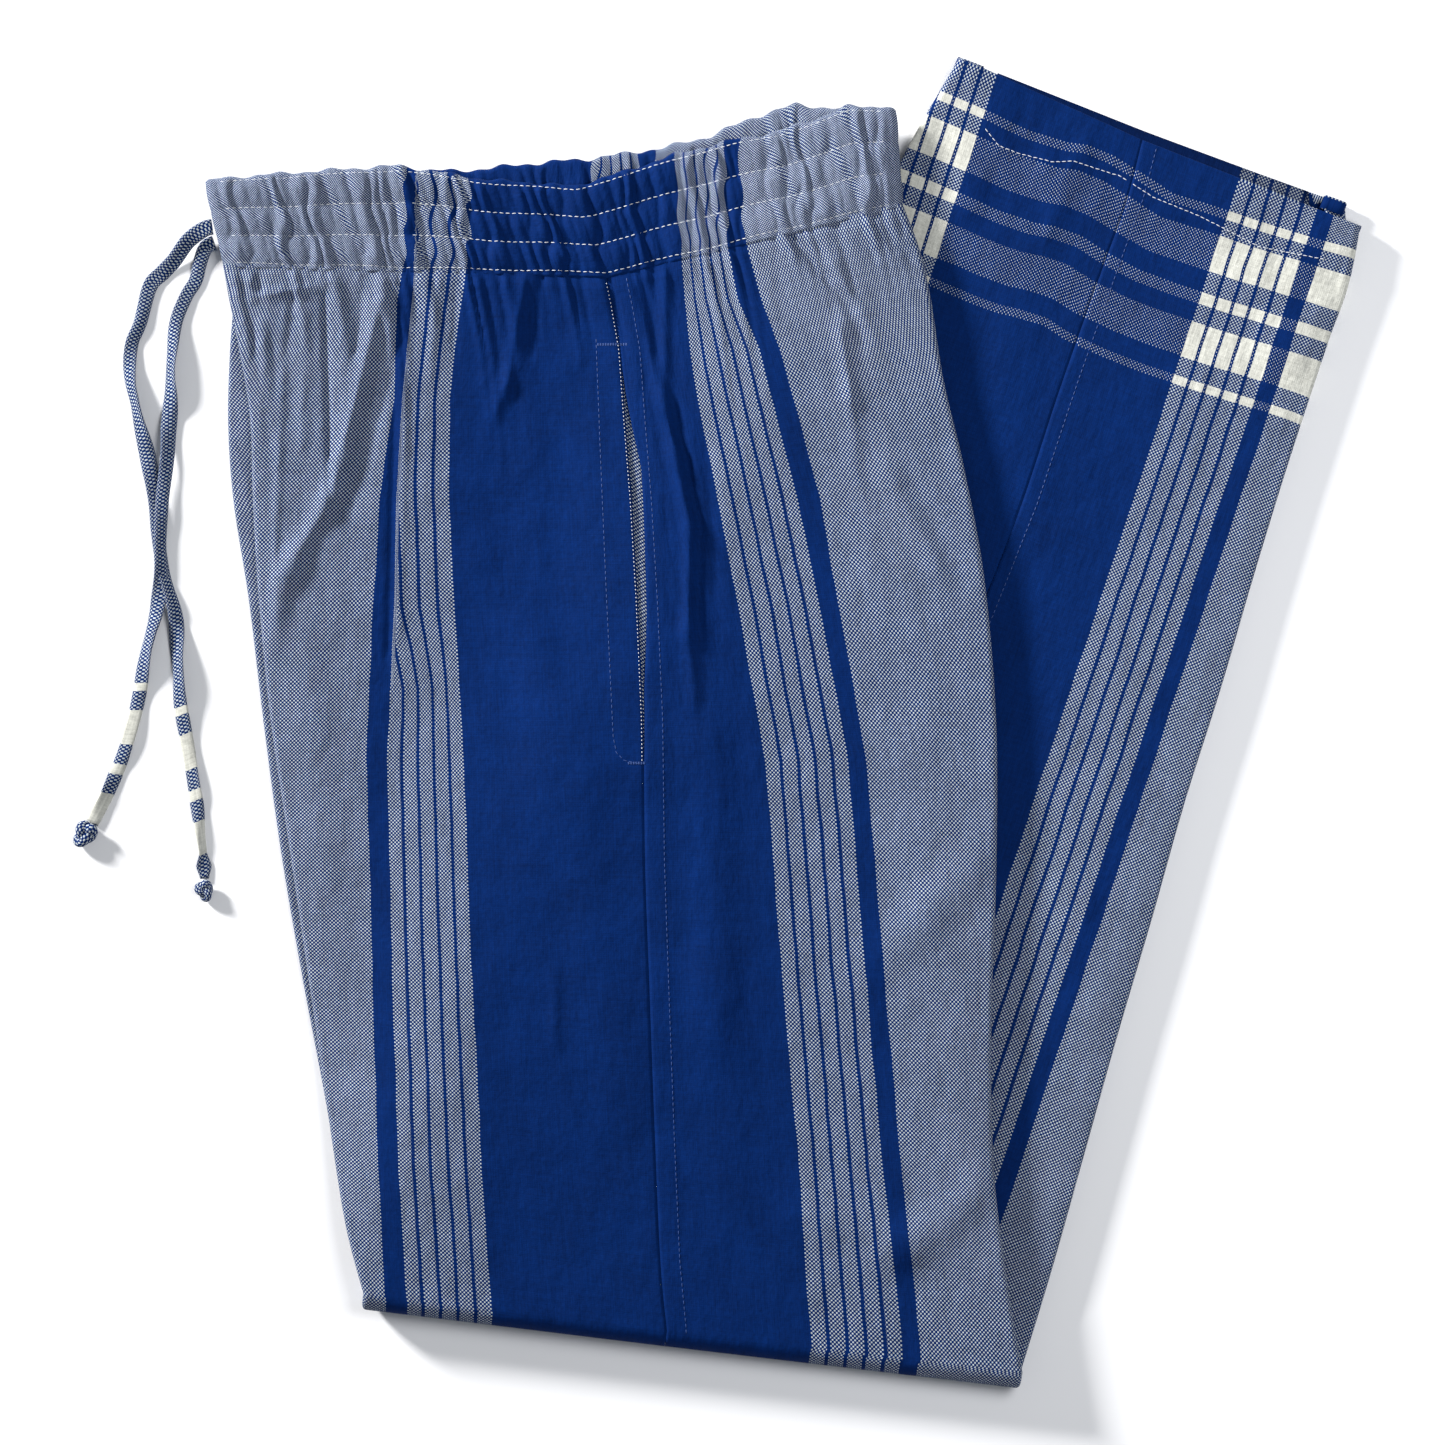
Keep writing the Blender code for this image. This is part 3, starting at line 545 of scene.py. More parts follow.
def cloth_knot(name, centre, turn, size, strand):
    """Tight knot in the tie, as a tube round its path."""
    steps = 72
    turns = np.linspace(0.0, 2.0 * np.pi, steps + 1)
    path = knot_path(turns, size)
    across, up = frame_of_path(knot_path(turns + 0.01, size) - knot_path(turns - 0.01, size))
    angle = np.linspace(0.0, 2.0 * np.pi, 12, endpoint=False)
    fold = strand * (1.0 + 0.10 * np.sin(5.0 * turns))[:, None]
    grid = rings(path, across, up, fold * np.cos(angle), 0.8 * fold * np.sin(angle))
    cos, sin = math.cos(turn), math.sin(turn)
    x = grid[:, :, 0] * cos - grid[:, :, 1] * sin + centre[0]
    y = grid[:, :, 0] * sin + grid[:, :, 1] * cos + centre[1]
    z = grid[:, :, 2] + centre[2]
    z += max(0.0, CLEAR - float(z.min()))
    around = angle / (2.0 * np.pi) * 12.0
    along = 200.0 + turns[:, None] * 5.0
    piece = grid_object(name, np.stack((x, y, z), -1), around[None, :], along, closed=True)
    join_closed_path(piece)
    smooth_faces(piece, kikoy_tie)
    return piece


def join_closed_path(piece):
    """Weld the last ring of a closed path to the first."""
    work = bmesh.new()
    work.from_mesh(piece.data)
    bmesh.ops.remove_doubles(work, verts=work.verts, dist=0.00002)
    save_mesh(work, piece)


knot_a = cloth_knot("knot_a_cloth", (-249.2, -71.9, 2.7), 0.3, (2.4, 3.4, 0.9), 1.8)
knot_b = cloth_knot("knot_b_cloth", (-300.6, -47.6, 3.0), -0.6, (2.9, 4.3, 1.0), 2.3)

for tie, knot, node, length, path in (
    (tie_a, knot_a, "drawstring_a", length_a, path_a),
    (tie_b, knot_b, "drawstring_b", length_b, path_b),
):
    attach(tie, "root")
    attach(knot, "root")
    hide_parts(node)
    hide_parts(node.replace("drawstring", "knot"))

# %% [markdown]
# ## Seam and crease lines
# Each leg is two panels, front and back, sewn at the side seam, which lies in the
# middle of the folded leg. The tables give the front crease, the side seam and the
# back crease at stations down the upper leg and up the lower leg, in millimetres.

# %% Tables of the seam and crease lines
# Height of one folded leg, gap between the legs, and radius of the creases' curl
STACK = 7.6
BETWEEN_LEGS = 0.4
TOP_CURL = 2.0
UNDER_CURL = 1.6
# Height the knee turns about, base of the upper legs, and the way out of the knee
TURN_LEVEL = STACK + BETWEEN_LEGS / 2
UPPER_LEVEL = STACK + BETWEEN_LEGS
TURN_OUT = np.array((-0.119, -0.993, 0.0))

# front_x, front_y, peek of the under leg, seam_x, seam_y, back_x, back_y
UPPER = np.array((
    (-241, 197.6, -1, -75.9, 193.3, 51.4, 223),
    (-238.2, 182.1, -1, -73.1, 180, 58.7, 203.6),
    (-233.9, 160.6, 4.5, -69.7, 160.6, 63.6, 182.1),
    (-229.2, 130.5, 10, -67.5, 130.5, 69, 147.7),
    (-228.1, 96.1, 8.8, -64.7, 96.1, 78, 109),
    (-225.5, 53.1, 4.7, -62.1, 53.1, 86.6, 61.7),
    (-220.4, 1.5, 3.6, -59.8, 1.5, 91.6, 1.5),
    (-212.2, -54.4, 4.3, -59.1, -58.7, 91.7, -63),
    (-204, -110.3, 3, -57, -118.9, 89.6, -127.5),
    (-195.9, -166.2, 0.5, -54.8, -179.1, 90.5, -189.8),
    (-188.1, -213.5, 0, -52.5, -230.7, 97, -243.6),
    (-180, -244.3, 0, -49.7, -260.2, 102.9, -278.3),
))
# front_x, front_y, no peek, seam_x, seam_y, back_x, back_y
LOWER = np.array((
    (-180, -244.3, 0, -49.7, -260.2, 102.9, -278.3),
    (-155.4, -197.6, 0, -28.6, -216.1, 116.1, -235),
    (-130.1, -143.4, 0, -6.7, -164.9, 130.3, -184.5),
    (-105.1, -89.7, 0, 15.3, -113.7, 144.3, -134.4),
    (-79.8, -35.5, 0, 37.2, -63, 159.1, -84.2),
    (-54.4, 18.3, 0, 59.1, -11.8, 173.3, -33.9),
    (-29, 72.5, 0, 81.1, 39.3, 189, 15.7),
    (-3.7, 126.2, 0, 101.6, 90.9, 203.6, 65.6),
    (21.3, 180.2, 0, 119.3, 144, 218.8, 115),
    (46.7, 234.1, 0, 137.8, 196.3, 235.2, 164.6),
    (60.8, 260.4, 0, 147.3, 222.5, 243.9, 189.3),
    (75.9, 286.2, 0, 154.6, 250.5, 248.8, 213.5),
))
FAR_HEM = (77.2, 285.6, 0.0, 155.9, 254.4, 242.7, 223.4)
LAST_STATION = 11.0


def ease(value):
    """Smooth step from 0 to 1."""
    value = np.clip(value, 0.0, 1.0)
    return value * value * (3.0 - 2.0 * value)


print("upper stations:", len(UPPER), "lower stations:", len(LOWER))

# %% [markdown]
# ## Where the layers lie
# The lower legs rest on the floor. The upper legs rest partly on the floor and
# partly on the lower legs, with a soft slope between, which these functions give.

# %% Heights of the layers
# A point on the left edge of the lower legs, and the direction away from that edge
LOWER_EDGE = (-180.8, -251.3)
EDGE_AWAY = (0.9055, -0.4244)


def measure(x, y, start, way):
    """Distance from a start along a direction on the plan."""
    return (x - start[0]) * way[0] + (y - start[1]) * way[1]


def past_lower_edge(x, y):
    """Distance to the right of the lower legs' left edge."""
    return measure(x, y, LOWER_EDGE, EDGE_AWAY)


def under_base(x, y):
    """Underside of the under leg."""
    return UPPER_LEVEL * ease((past_lower_edge(x, y) + 62.0) / 60.0)


def top_base(x, y, inward):
    """Base of the top leg, which bridges the step more softly."""
    low = under_base(x, y)
    soft = UPPER_LEVEL * ease((past_lower_edge(x, y) + 90.0) / 88.0)
    return low + np.maximum(0.0, soft - low) * ease(inward / 40.0)


# %% [markdown]
# ## Folds
# Soft ridges and troughs are placed where the cloth shows them: the tuck
# under the waist, the long bright ridge beside the pocket, the pulls at the back.
# Each row is one fold, a line with a width and a height that fades at both ends.

# %% Fold tables
# x1, y1, x2, y2, half width, height
UPPER_FOLDS = (
    (-226, 186, -229, 146, 2.2, -1.2), (-224.5, 184, -206, 187, 2.4, 1.3),
    (-222, 180, -224, 140, 3, 1), (-211, 186, -214, 158, 2, -1),
    (-197, 184, -194.5, 96, 1.5, -1.9), (-190, 188, -188, 120, 3, 0.9),
    (-180, 190, -184, 160, 1.8, -1), (-173.5, 180, -190.5, 112, 3.2, 2.9),
    (-190.5, 112, -196, 95, 3.2, 2.7), (-196, 95, -212, 67, 3.6, 2.6),
    (-212, 67, -222, 36, 4.4, 2), (-164, 165, -186, 92, 3.6, -1.1),
    (-214, 176, -219, 60, 1.8, 0.9), (-205, 178, -207, 120, 2.6, 0.8),
    (-165.5, 190, -170, 30, 1.4, -1), (-161, 190, -165, 40, 1.8, 0.8),
    (-148, 190, -152, 150, 2.2, 0.9), (-140, 188, -141, 160, 1.8, -0.8),
    (-111, 190, -118.5, 146, 2.8, 1.8), (-118.5, 146, -123, 135, 3.2, 1.2),
    (-104, 192, -108, 160, 2, -0.9), (-131, 68, -95, 11, 9, 1.4),
    (-98, -108, -97.5, -134, 2.4, 0.9), (-92, -16, -70, -150, 10, 1.1),
    (-108, 110, -104, -40, 7, 0.7), (-64, 187, -52, 137, 2.2, 1.9),
    (-50.5, 192, -51, 137, 2.2, 1.8), (-57, 190, -54, 160, 1.8, -0.9),
    (-51, 137, -46, 114, 2.3, 2.9), (-46, 114, -40, 84, 2.4, 3.1),
    (-40, 84, -40.5, 40, 2.5, 2.8), (-40.5, 40, -38, 12, 3, 2),
    (-46.5, 135, -41.5, 113, 2, -1.4), (-41.5, 113, -35.6, 84, 2, -1.6),
    (-35.6, 84, -36, 44, 2.2, -1.4), (-33, 120, -29, 60, 3, -0.9),
    (-31, -10, -29, -120, 8, 1.7), (-29, -120, -24, -190, 10, 1.1),
    (-5, 218, 5, 202, 2, 1.2), (0, 213, 17, 193, 1.8, -1.6),
    (17, 193, 28, 180, 2, -1.6), (28, 180, 34, 165, 2.6, -1.4),
    (22, 196, 33, 176, 2.6, 1.7), (25, 168, 29, 140, 3, 2.2),
    (29, 140, 31, 118, 3.4, 1.1), (17, 219, 39, 202, 2, -1.1),
    (35, 224, 55.5, 199, 2, -1.1), (27, 221, 48, 200, 2.4, 1.2),
    (48, 102, 66, 69, 5, 1.7), (55, 100, 74, 66, 4, -0.9),
    (79, -65, 48, -95, 8, 1.7), (86, -200, 54, -223, 7, 1.7),
    (54, -223, 23, -214, 8, 1.3), (60, -20, 70, -140, 12, 1),
    (-150, -60, -140, -200, 14, 0.9), (-206, 20, -190, -120, 8, 0.9),
)
LOWER_FOLDS = (
    (122, 240, 96, 150, 9, 0.5), (128, 246, 117, 215, 4, 0.7),
    (196, 220, 150, 60, 14, 0.6), (224, 190, 200, 110, 8, 0.5),
    (92, 262, 80, 225, 6, 0.6), (150, 30, 128, -70, 12, 0.5),
)


def fold_lift(table, x, y):
    """Sum of the ridges and troughs at each point."""
    total = np.zeros_like(x)
    for x1, y1, x2, y2, half_width, height in table:
        run_x = x2 - x1
        run_y = y2 - y1
        length = math.hypot(run_x, run_y)
        along = ((x - x1) * run_x + (y - y1) * run_y) / length
        across = np.abs((x - x1) * run_y - (y - y1) * run_x) / length
        beyond = np.maximum(0.0, np.maximum(-along, along - length))
        far = np.minimum(np.hypot(across, beyond * 0.5) / (2.0 * half_width), 1.0)
        if half_width < 4.0:
            total += height * (1.0 - far) ** 1.6
        else:
            total += height * 0.5 * (1.0 + np.cos(np.pi * far))
    return np.clip(total, -1.6, 3.4)


def soft_ripple(x, y, size, seed):
    """Slow waves that keep a large area from lying dead flat."""
    a = np.sin(x / size + 1.7 * seed) * np.cos(y / (1.3 * size) + seed)
    b = np.sin((x + 0.6 * y) / (0.61 * size) + 2.3 * seed)
    c = np.cos((0.4 * x - y) / (0.83 * size) + 0.9 * seed)
    return (a + b + c) / 3.0


print("upper folds:", len(UPPER_FOLDS), "lower folds:", len(LOWER_FOLDS))

# %% [markdown]
# ## Where the stripes run
# The stripes are woven in, so they follow the cloth and not the floor. Each point
# of a sheet gets two cloth sizes: across the warp stripes, measured from the side
# seam, and up from the hem. The material draws stripes and weave from these two.

# %% Stripe lines
# y, then x of the front navy stripe's left and right edge, of the front band's right edge,
# of the seam, of the back band's left edge and of the back navy stripe's edges
STRIPES = np.array((
    (268, -162.3, -157.6, -134.8, -81.9, -45.8, -24.7, -18.3),
    (233, -162.3, -157.6, -134.8, -79.5, -45.8, -24.7, -18.3),
    (203.6, -161.9, -157.6, -134.8, -78.5, -43.6, -23.4, -15.1),
    (182.1, -165.8, -159.3, -137.8, -73.1, -42.1, -19, -9),
    (160.6, -166.5, -161.5, -141, -69.7, -39.8, -9.7, -1.1),
    (139.1, -167.1, -163.6, -143.4, -68.1, -36.5, -4.5, 5),
    (96.1, -173.5, -166.2, -143.4, -64.7, -28, 6.5, 16),
    (53.1, -176, -167, -141.5, -62.1, -19.5, 15.5, 23.7),
    (-15.7, -179.1, -170.1, -137, -59.3, -7.5, 28.2, 35.9),
    (-103.4, -176.5, -168, -133.5, -57.6, -0.6, 35.3, 43.2),
    (-191.1, -173.5, -164.8, -129, -54.4, 7.1, 43.2, 51),
    (-251.3, -170.1, -161, -124.9, -51.5, 11, 50, 57.5),
    (-285, -168.5, -159.5, -123.2, -49.9, 14.2, 52.7, 60.4),
))
# y and how much of the front band a tuck beside the navy stripe swallows
TUCK = np.array(((15.0, 0.0), (50.0, 11.0), (100.0, 14.0), (190.0, 15.0)))
STRIPE_CLOTH = np.array((-NAVY_END, -BAND_END, -BLUE_HALF, 0.0, BLUE_HALF, BAND_END, NAVY_END))


def stripe_line(y, column):
    """x of one stripe line by its height on the plan."""
    return np.interp(y, STRIPES[::-1, 0], STRIPES[::-1, column])


def upper_warp(x, y):
    """Cloth distance across the stripes on the upper leg."""
    x, y = np.broadcast_arrays(np.asarray(x, float), np.asarray(y, float))
    edges = [stripe_line(y, k) for k in range(1, 8)]
    slack = 1.0 + 0.35 * ease((y - 130.0) / 80.0)
    tucked = np.interp(y, TUCK[:, 0], TUCK[:, 1])
    warp = STRIPE_CLOTH[0] + (x - edges[0]) * slack
    for k in range(6):
        part = (x - edges[k]) / (edges[k + 1] - edges[k])
        start = STRIPE_CLOTH[k] + (tucked if k == 1 else 0.0)
        span = STRIPE_CLOTH[k + 1] - start
        warp = np.where(x > edges[k], start + part * span, warp)
    return np.where(x > edges[6], STRIPE_CLOTH[6] + (x - edges[6]) * slack, warp)


# A point on the back band's edge on the lower leg, and the direction across its stripes
LOWER_BAND = (195.4, 231.1)
LOWER_ACROSS = (0.9497, -0.3131)
# How much less cloth the seam leaves in front
FRONT_LESS = 7.0


def lower_warp(x, y, side):
    """Cloth distance across the stripes on the lower leg, where they run straight."""
    start = BLUE_HALF if side == "back" else BLUE_HALF - FRONT_LESS
    return start + measure(x, y, LOWER_BAND, LOWER_ACROSS)


# The hem's front corner, the direction along the hem, and the one up the leg from it
HEM_START = (75.9, 286.2)
HEM_ALONG = (0.9218, -0.3876)
HEM_UP = (-0.3876, -0.9218)
# Distance along the hem, how far the cloth sags at the hem and 75 mm up from it
HEM_WAVE = np.array((
    (24, 2.1, 2.6), (40, 3, 2.5), (57, 1.5, 2.1), (66, -0.9, 0.6),
    (78, -0.9, -0.5), (89, 0.6, 1.4), (107, 4, 1.9), (127, 2.1, 1.5),
    (146, 0.6, 0), (173, -2.2, -2.8), (192, -4.4, -4.5),
))


def hem_distance(x, y):
    """Cloth distance up from the hem on the lower leg, whose waves carry the bands."""
    up = measure(x, y, HEM_START, HEM_UP)
    along = measure(x, y, HEM_START, HEM_ALONG)
    low = np.interp(along, HEM_WAVE[:, 0], HEM_WAVE[:, 1])
    high = np.interp(along, HEM_WAVE[:, 0], HEM_WAVE[:, 2])
    part = ease((up - 16.0) / 75.0)
    return up - (low + (high - low) * part) * ease((up + 2.0) / 12.0)


# %% [markdown]
# ## Gathers
# Elastic pulls the waist in, so the cloth under it stands in small gathers that
# die out down the leg, each at its own length. The same count runs round the
# casing and into the panels, from 0 at the centre front to 40 at the centre back.

# %% Gathers
GATHERS_FRONT = 22
GATHERS = 40
GATHER_HEIGHT = 3.0
# Slope on the plan of the casing's lower edge, in front of and behind the seam
FRONT_SLOPE = 0.026
BACK_SLOPE = 0.2333


def gather_wave(turn):
    """Height share of the gathers at a count along the waist."""
    turn = turn + 0.40 * np.sin(1.3 * turn) + 0.12 * np.sin(3.1 * turn + 1.0)
    strength = 0.66 + 0.34 * np.sin(2.4 * np.floor(turn) + 0.7)
    return strength * (0.5 * (1.0 - np.cos(2.0 * np.pi * turn))) ** 0.5


def gather_fade(turn, down):
    """How a gather opens under the casing and dies out, each at its own length."""
    reach = 26.0 + 16.0 * np.sin(0.9 * turn + 0.4) + 9.0 * np.sin(2.3 * turn)
    opening = 0.4 + 0.6 * ease(down / 7.0)
    return opening * np.exp(-(down / np.maximum(reach, 8.0)) ** 1.5)


def casing_line(x):
    """Height on the plan of the casing's lower edge, from front to seam to back."""
    front, seam = UPPER[0, 0:2], UPPER[0, 3:5]
    before = front[1] - FRONT_SLOPE * (x - front[0])
    return np.where(x < seam[0], before, seam[1] + BACK_SLOPE * (x - seam[0]))


# %% [markdown]
# ## Pocket
# A pocket is set in the left side seam. Its slit gapes a little, widest in its
# upper half, and the layers of the bag lift the cloth round it.

# %% Pocket
POCKET_TOP = 152.0
POCKET_BOTTOM = -17.0
# y and width of the slit
SLIT = np.array((
    (-17, 0.1), (0, 0.5), (16, 0.9), (31, 2.2), (47, 3.4),
    (80, 4.3), (109, 5), (126, 2.7), (140, 1), (152, 0.1),
))


def seam_x_at(y):
    """Side seam of the upper leg by its height on the plan."""
    return np.interp(y, UPPER[::-1, 4], UPPER[::-1, 3])


def slit_width(y):
    """Width of the pocket's slit."""
    inside = (y < POCKET_TOP) & (y > POCKET_BOTTOM)
    return np.where(inside, np.interp(y, SLIT[:, 0], SLIT[:, 1]), 0.0)


def pocket_lift(x, y):
    """Rise of the cloth round the pocket."""
    across = 1.0 - ease((np.abs(x - seam_x_at(y)) - 13.0) / 24.0)
    above = ease((POCKET_TOP + 22.0 - y) / 20.0)
    below = ease((y - POCKET_BOTTOM + 22.0) / 20.0)
    return across * above * below


# %% [markdown]
# ## The leg panels
# A panel is a grid: rows are stations down the leg, columns run from the side seam
# to the crease, round the crease and a little way under. At the knee the rows swing
# round half a circle, so the sheet turns over and runs back on the floor, just as
# the folded leg does. Subdividing a flat outline and bending it would stretch the
# stripes, while a grid worked out from the seam and creases keeps them true.

# %% Places on a leg
def set_points(kind, x, y, height, inward, turn, top_leg):
    """Points in millimetres of cloth at a height in the stack of legs."""
    if kind == "upper":
        base = top_base(x, y, inward) if top_leg else under_base(x, y)
        return np.stack((x, y, base + height), -1)
    if kind == "lower":
        return np.stack((x, y, STACK - height), -1)
    reach = height + BETWEEN_LEGS / 2
    way = np.cos(turn)[..., None] * np.array((0.0, 0.0, 1.0))
    way = way + np.sin(turn)[..., None] * TURN_OUT
    return np.stack((x, y, np.full_like(x, TURN_LEVEL)), -1) + way * reach[..., None]


def clear_of_upper(x, y):
    """Share of the lower leg's folds, none under the upper leg."""
    back = np.interp(y, UPPER[::-1, 6], UPPER[::-1, 5])
    return ease((x - back - 12.0) / 20.0)


def seam_relief(from_seam, side):
    """Groove of the side seam, and the ridge of its allowance on the back."""
    groove = -0.16 * np.exp(-(from_seam / 0.8) ** 2)
    if side == "back":
        groove = groove + 0.2 * ease(from_seam / 2.5) * (1.0 - ease((from_seam - 8.0) / 2.0))
    return groove


# %% Relief of the faces that show
def upper_relief(side, x, y, inward, from_seam, place, share):
    """Folds, gathers and seams on the upper leg."""
    ripple = 0.6 * soft_ripple(x, y, 24.0, 1.0) + 0.16 * soft_ripple(x, y, 7.0, 2.0)
    reach = GATHERS_FRONT if side == "front" else GATHERS - GATHERS_FRONT
    turn = GATHERS_FRONT + (-1.0 if side == "front" else 1.0) * share * reach
    down = np.maximum(0.0, casing_line(x) - y)
    wave = GATHER_HEIGHT * gather_wave(turn) * gather_fade(turn, down)
    lift = fold_lift(UPPER_FOLDS, x, y) + pocket_lift(x, y) + ripple
    lift = lift * ease((inward - 0.5) / 9.0) + wave * ease((inward - 0.5) / 5.0)
    return (lift + seam_relief(from_seam, side)) * ease((LAST_STATION - place) / 0.6)


def lower_relief(side, x, y, inward, from_seam):
    """Folds, the turned-up hem and seams on the lower leg."""
    ripple = 0.6 + 0.5 * soft_ripple(x, y, 22.0, 4.0) + 0.14 * soft_ripple(x, y, 8.0, 5.0)
    folds = (fold_lift(LOWER_FOLDS, x, y) + ripple) * ease((inward - 0.5) / 9.0)
    up = hem_distance(x, y)
    pull = 0.22 * np.sin(x / 2.9 + 0.6 * np.sin(x / 11.0)) * np.exp(-((up - 24.0) / 9.0) ** 2)
    step = 0.55 * (1.0 - ease((up - 23.6) / 1.4))
    dip = -0.35 * np.exp(-((up - 23.0) / 0.9) ** 2)
    return folds * clear_of_upper(x, y) + step + dip + pull + 0.2 * seam_relief(from_seam, side)


def cloth_relief(kind, side, top_leg, x, y, inward, from_seam, place, share):
    """Height added to a panel's outer face, towards its outside."""
    if kind == "upper" and top_leg:
        return upper_relief(side, x, y, inward, from_seam, place, share)
    if kind == "lower" and not top_leg:
        return -lower_relief(side, x, y, inward, from_seam)
    return np.zeros_like(x)


# %% Stripes on a panel
# Height on the plan whose stripes run round the knee
KNEE_LINE = -262.0


def panel_warp(kind, side, top_leg, x, y, share):
    """Cloth distance across the stripes."""
    if kind == "upper":
        return upper_warp(x, y)
    if kind == "lower" and not top_leg:
        return lower_warp(x, y, side)
    crease = UPPER[-1, 0:2] if side == "front" else UPPER[-1, 5:7]
    run = UPPER[-1, 3:5] - crease
    length = np.linalg.norm(run)
    curl = TOP_CURL if top_leg else UNDER_CURL
    inward = length - SEAM_GAP - (length - SEAM_GAP - curl) * share[:1]
    edge_x = crease[0] + run[0] / length * inward
    return np.repeat(upper_warp(edge_x, np.full_like(edge_x, KNEE_LINE)), len(x), 0)


# %% Columns of a panel
# Columns of the top leg from seam to crease, and the under leg's share of them
COLUMNS = {"front": 136, "back": 112}
UNDER_SHARE = 0.62
# Share of the columns before the tuck, its width, and where it runs at the knee
TUCK_COLUMNS = 0.58
TUCK_APART = 0.0006
TUCK_AT_KNEE = 0.867
# Half the gap between two panels at their seam, and how far each goes on under its crease
SEAM_GAP = 0.05
TOP_TAIL = 8.0
UNDER_TAIL = 15.0


def tuck_share(kind, crease, run, length, curl):
    """Share of the way from seam to crease where the front tuck runs."""
    inward = length * 0.5
    for _ in range(4):
        y = crease[:, 1:2] + run[:, 1:2] * inward
        inward = (stripe_line(y, 2) - crease[:, 0:1]) / run[:, 0:1]
    share = (length - inward) / (length - curl)
    return share if kind == "upper" else np.full_like(share, TUCK_AT_KNEE)


def split_share(share, columns):
    """Even columns up to the tuck and even columns beyond it."""
    first = int(columns * TUCK_COLUMNS)
    before = share * np.linspace(0.0, 1.0, first)[None, :]
    start = share + TUCK_APART
    after = start + (1.0 - start) * np.linspace(0.0, 1.0, columns - first)[None, :]
    return np.concatenate((before, after), 1)


# %% One part of a panel
def panel_part(kind, side, top_leg, stations, places, turn):
    """Points and cloth sizes of the upper leg, the knee or the lower leg."""
    crease = stations[:, (0, 1) if side == "front" else (5, 6)].copy()
    if side == "front" and not top_leg:
        crease[:, 0] -= stations[:, 2]
    seam = stations[:, (3, 4)]
    length = np.linalg.norm(seam - crease, axis=1)[:, None]
    run = (seam - crease) / length
    if top_leg:
        curl, tail, outer, toward = TOP_CURL, TOP_TAIL, STACK, -1.0
    else:
        curl, tail, outer, toward = UNDER_CURL, UNDER_TAIL, 0.0, 1.0
    columns = int(COLUMNS[side] * (1.0 if top_leg else UNDER_SHARE) * QUICK)
    share = np.linspace(0.0, 1.0, columns)[None, :]
    gap = np.full_like(length, SEAM_GAP)
    if top_leg and side == "back" and kind == "upper":
        gap = gap + slit_width(seam[:, 1:2])
    if side == "front" and top_leg:
        share = split_share(tuck_share(kind, crease, run, length, curl), columns)
    inward = length - gap - (length - gap - curl) * share
    from_seam = length - gap - inward
    angles = np.linspace(0.0, np.pi, 11)[None, 1:]
    tails = curl + tail * np.linspace(0.0, 1.0, 4)[None, 1:]
    bent = np.repeat(np.concatenate((curl - curl * np.sin(angles), tails), 1), len(places), 0)
    inward_all = np.concatenate((inward, bent), 1)
    x_all, y_all = [crease[:, k:k + 1] + run[:, k:k + 1] * inward_all for k in (0, 1)]
    x, y = x_all[:, :columns], y_all[:, :columns]
    place = np.repeat(places[:, None], columns, 1)
    lift = cloth_relief(kind, side, top_leg, x, y, inward, from_seam, place, share)
    level = outer + toward * curl * (1.0 - np.cos(angles))
    level = np.concatenate((level, np.full_like(tails, outer + 2.0 * toward * curl)), 1)
    level = np.repeat(level, len(places), 0)
    height_all = np.concatenate((outer + lift, level), 1)
    turn_all = np.repeat(turn[:, None], x_all.shape[1], 1)
    points = set_points(kind, x_all, y_all, height_all, inward_all, turn_all, top_leg)
    warp = panel_warp(kind, side, top_leg, x, y, share)
    arc = np.concatenate((angles * curl, np.pi * curl + tails - curl), 1)
    away = -1.0 if side == "front" else 1.0
    return points, np.concatenate((warp, warp[:, -1:] + away * arc), 1), x_all, y_all


# %% Rolled hem edge
# How far beyond the hem each row lies, and how far it sinks inside
HEM_ROLL = ((0.5, 0.35), (0.6, 0.9), (0.2, 1.35), (-5.0, 1.5))


def roll_hem(points, warp, weft, inner_side):
    """Rows that turn the hem's edge over and a little way inside."""
    inwards = np.array((*HEM_UP, 0.0))
    last = points[-1]
    for beyond, sink in HEM_ROLL:
        row = last - inwards * beyond
        row = row + np.array((0.0, 0.0, inner_side * sink))
        points = np.concatenate((points, row[None]))
        warp = np.concatenate((warp, warp[-1:]))
        weft = np.concatenate((weft, weft[-1:] * 0.0 + 1.0 + sink))
    return points, warp, weft


# %% A whole panel
def panel_rows(top_leg):
    """Row numbers down the upper leg and up the lower leg."""
    upper = int((200 if top_leg else 60) * QUICK)
    lower = int((30 if top_leg else 170) * QUICK)
    near = LAST_STATION * np.linspace(0.0, 1.0, upper) ** (1.2 if top_leg else 1.0)
    far = np.linspace(0.0, LAST_STATION, lower)
    return near, np.radians(np.linspace(0.0, 180.0, 15)[1:-1]), far


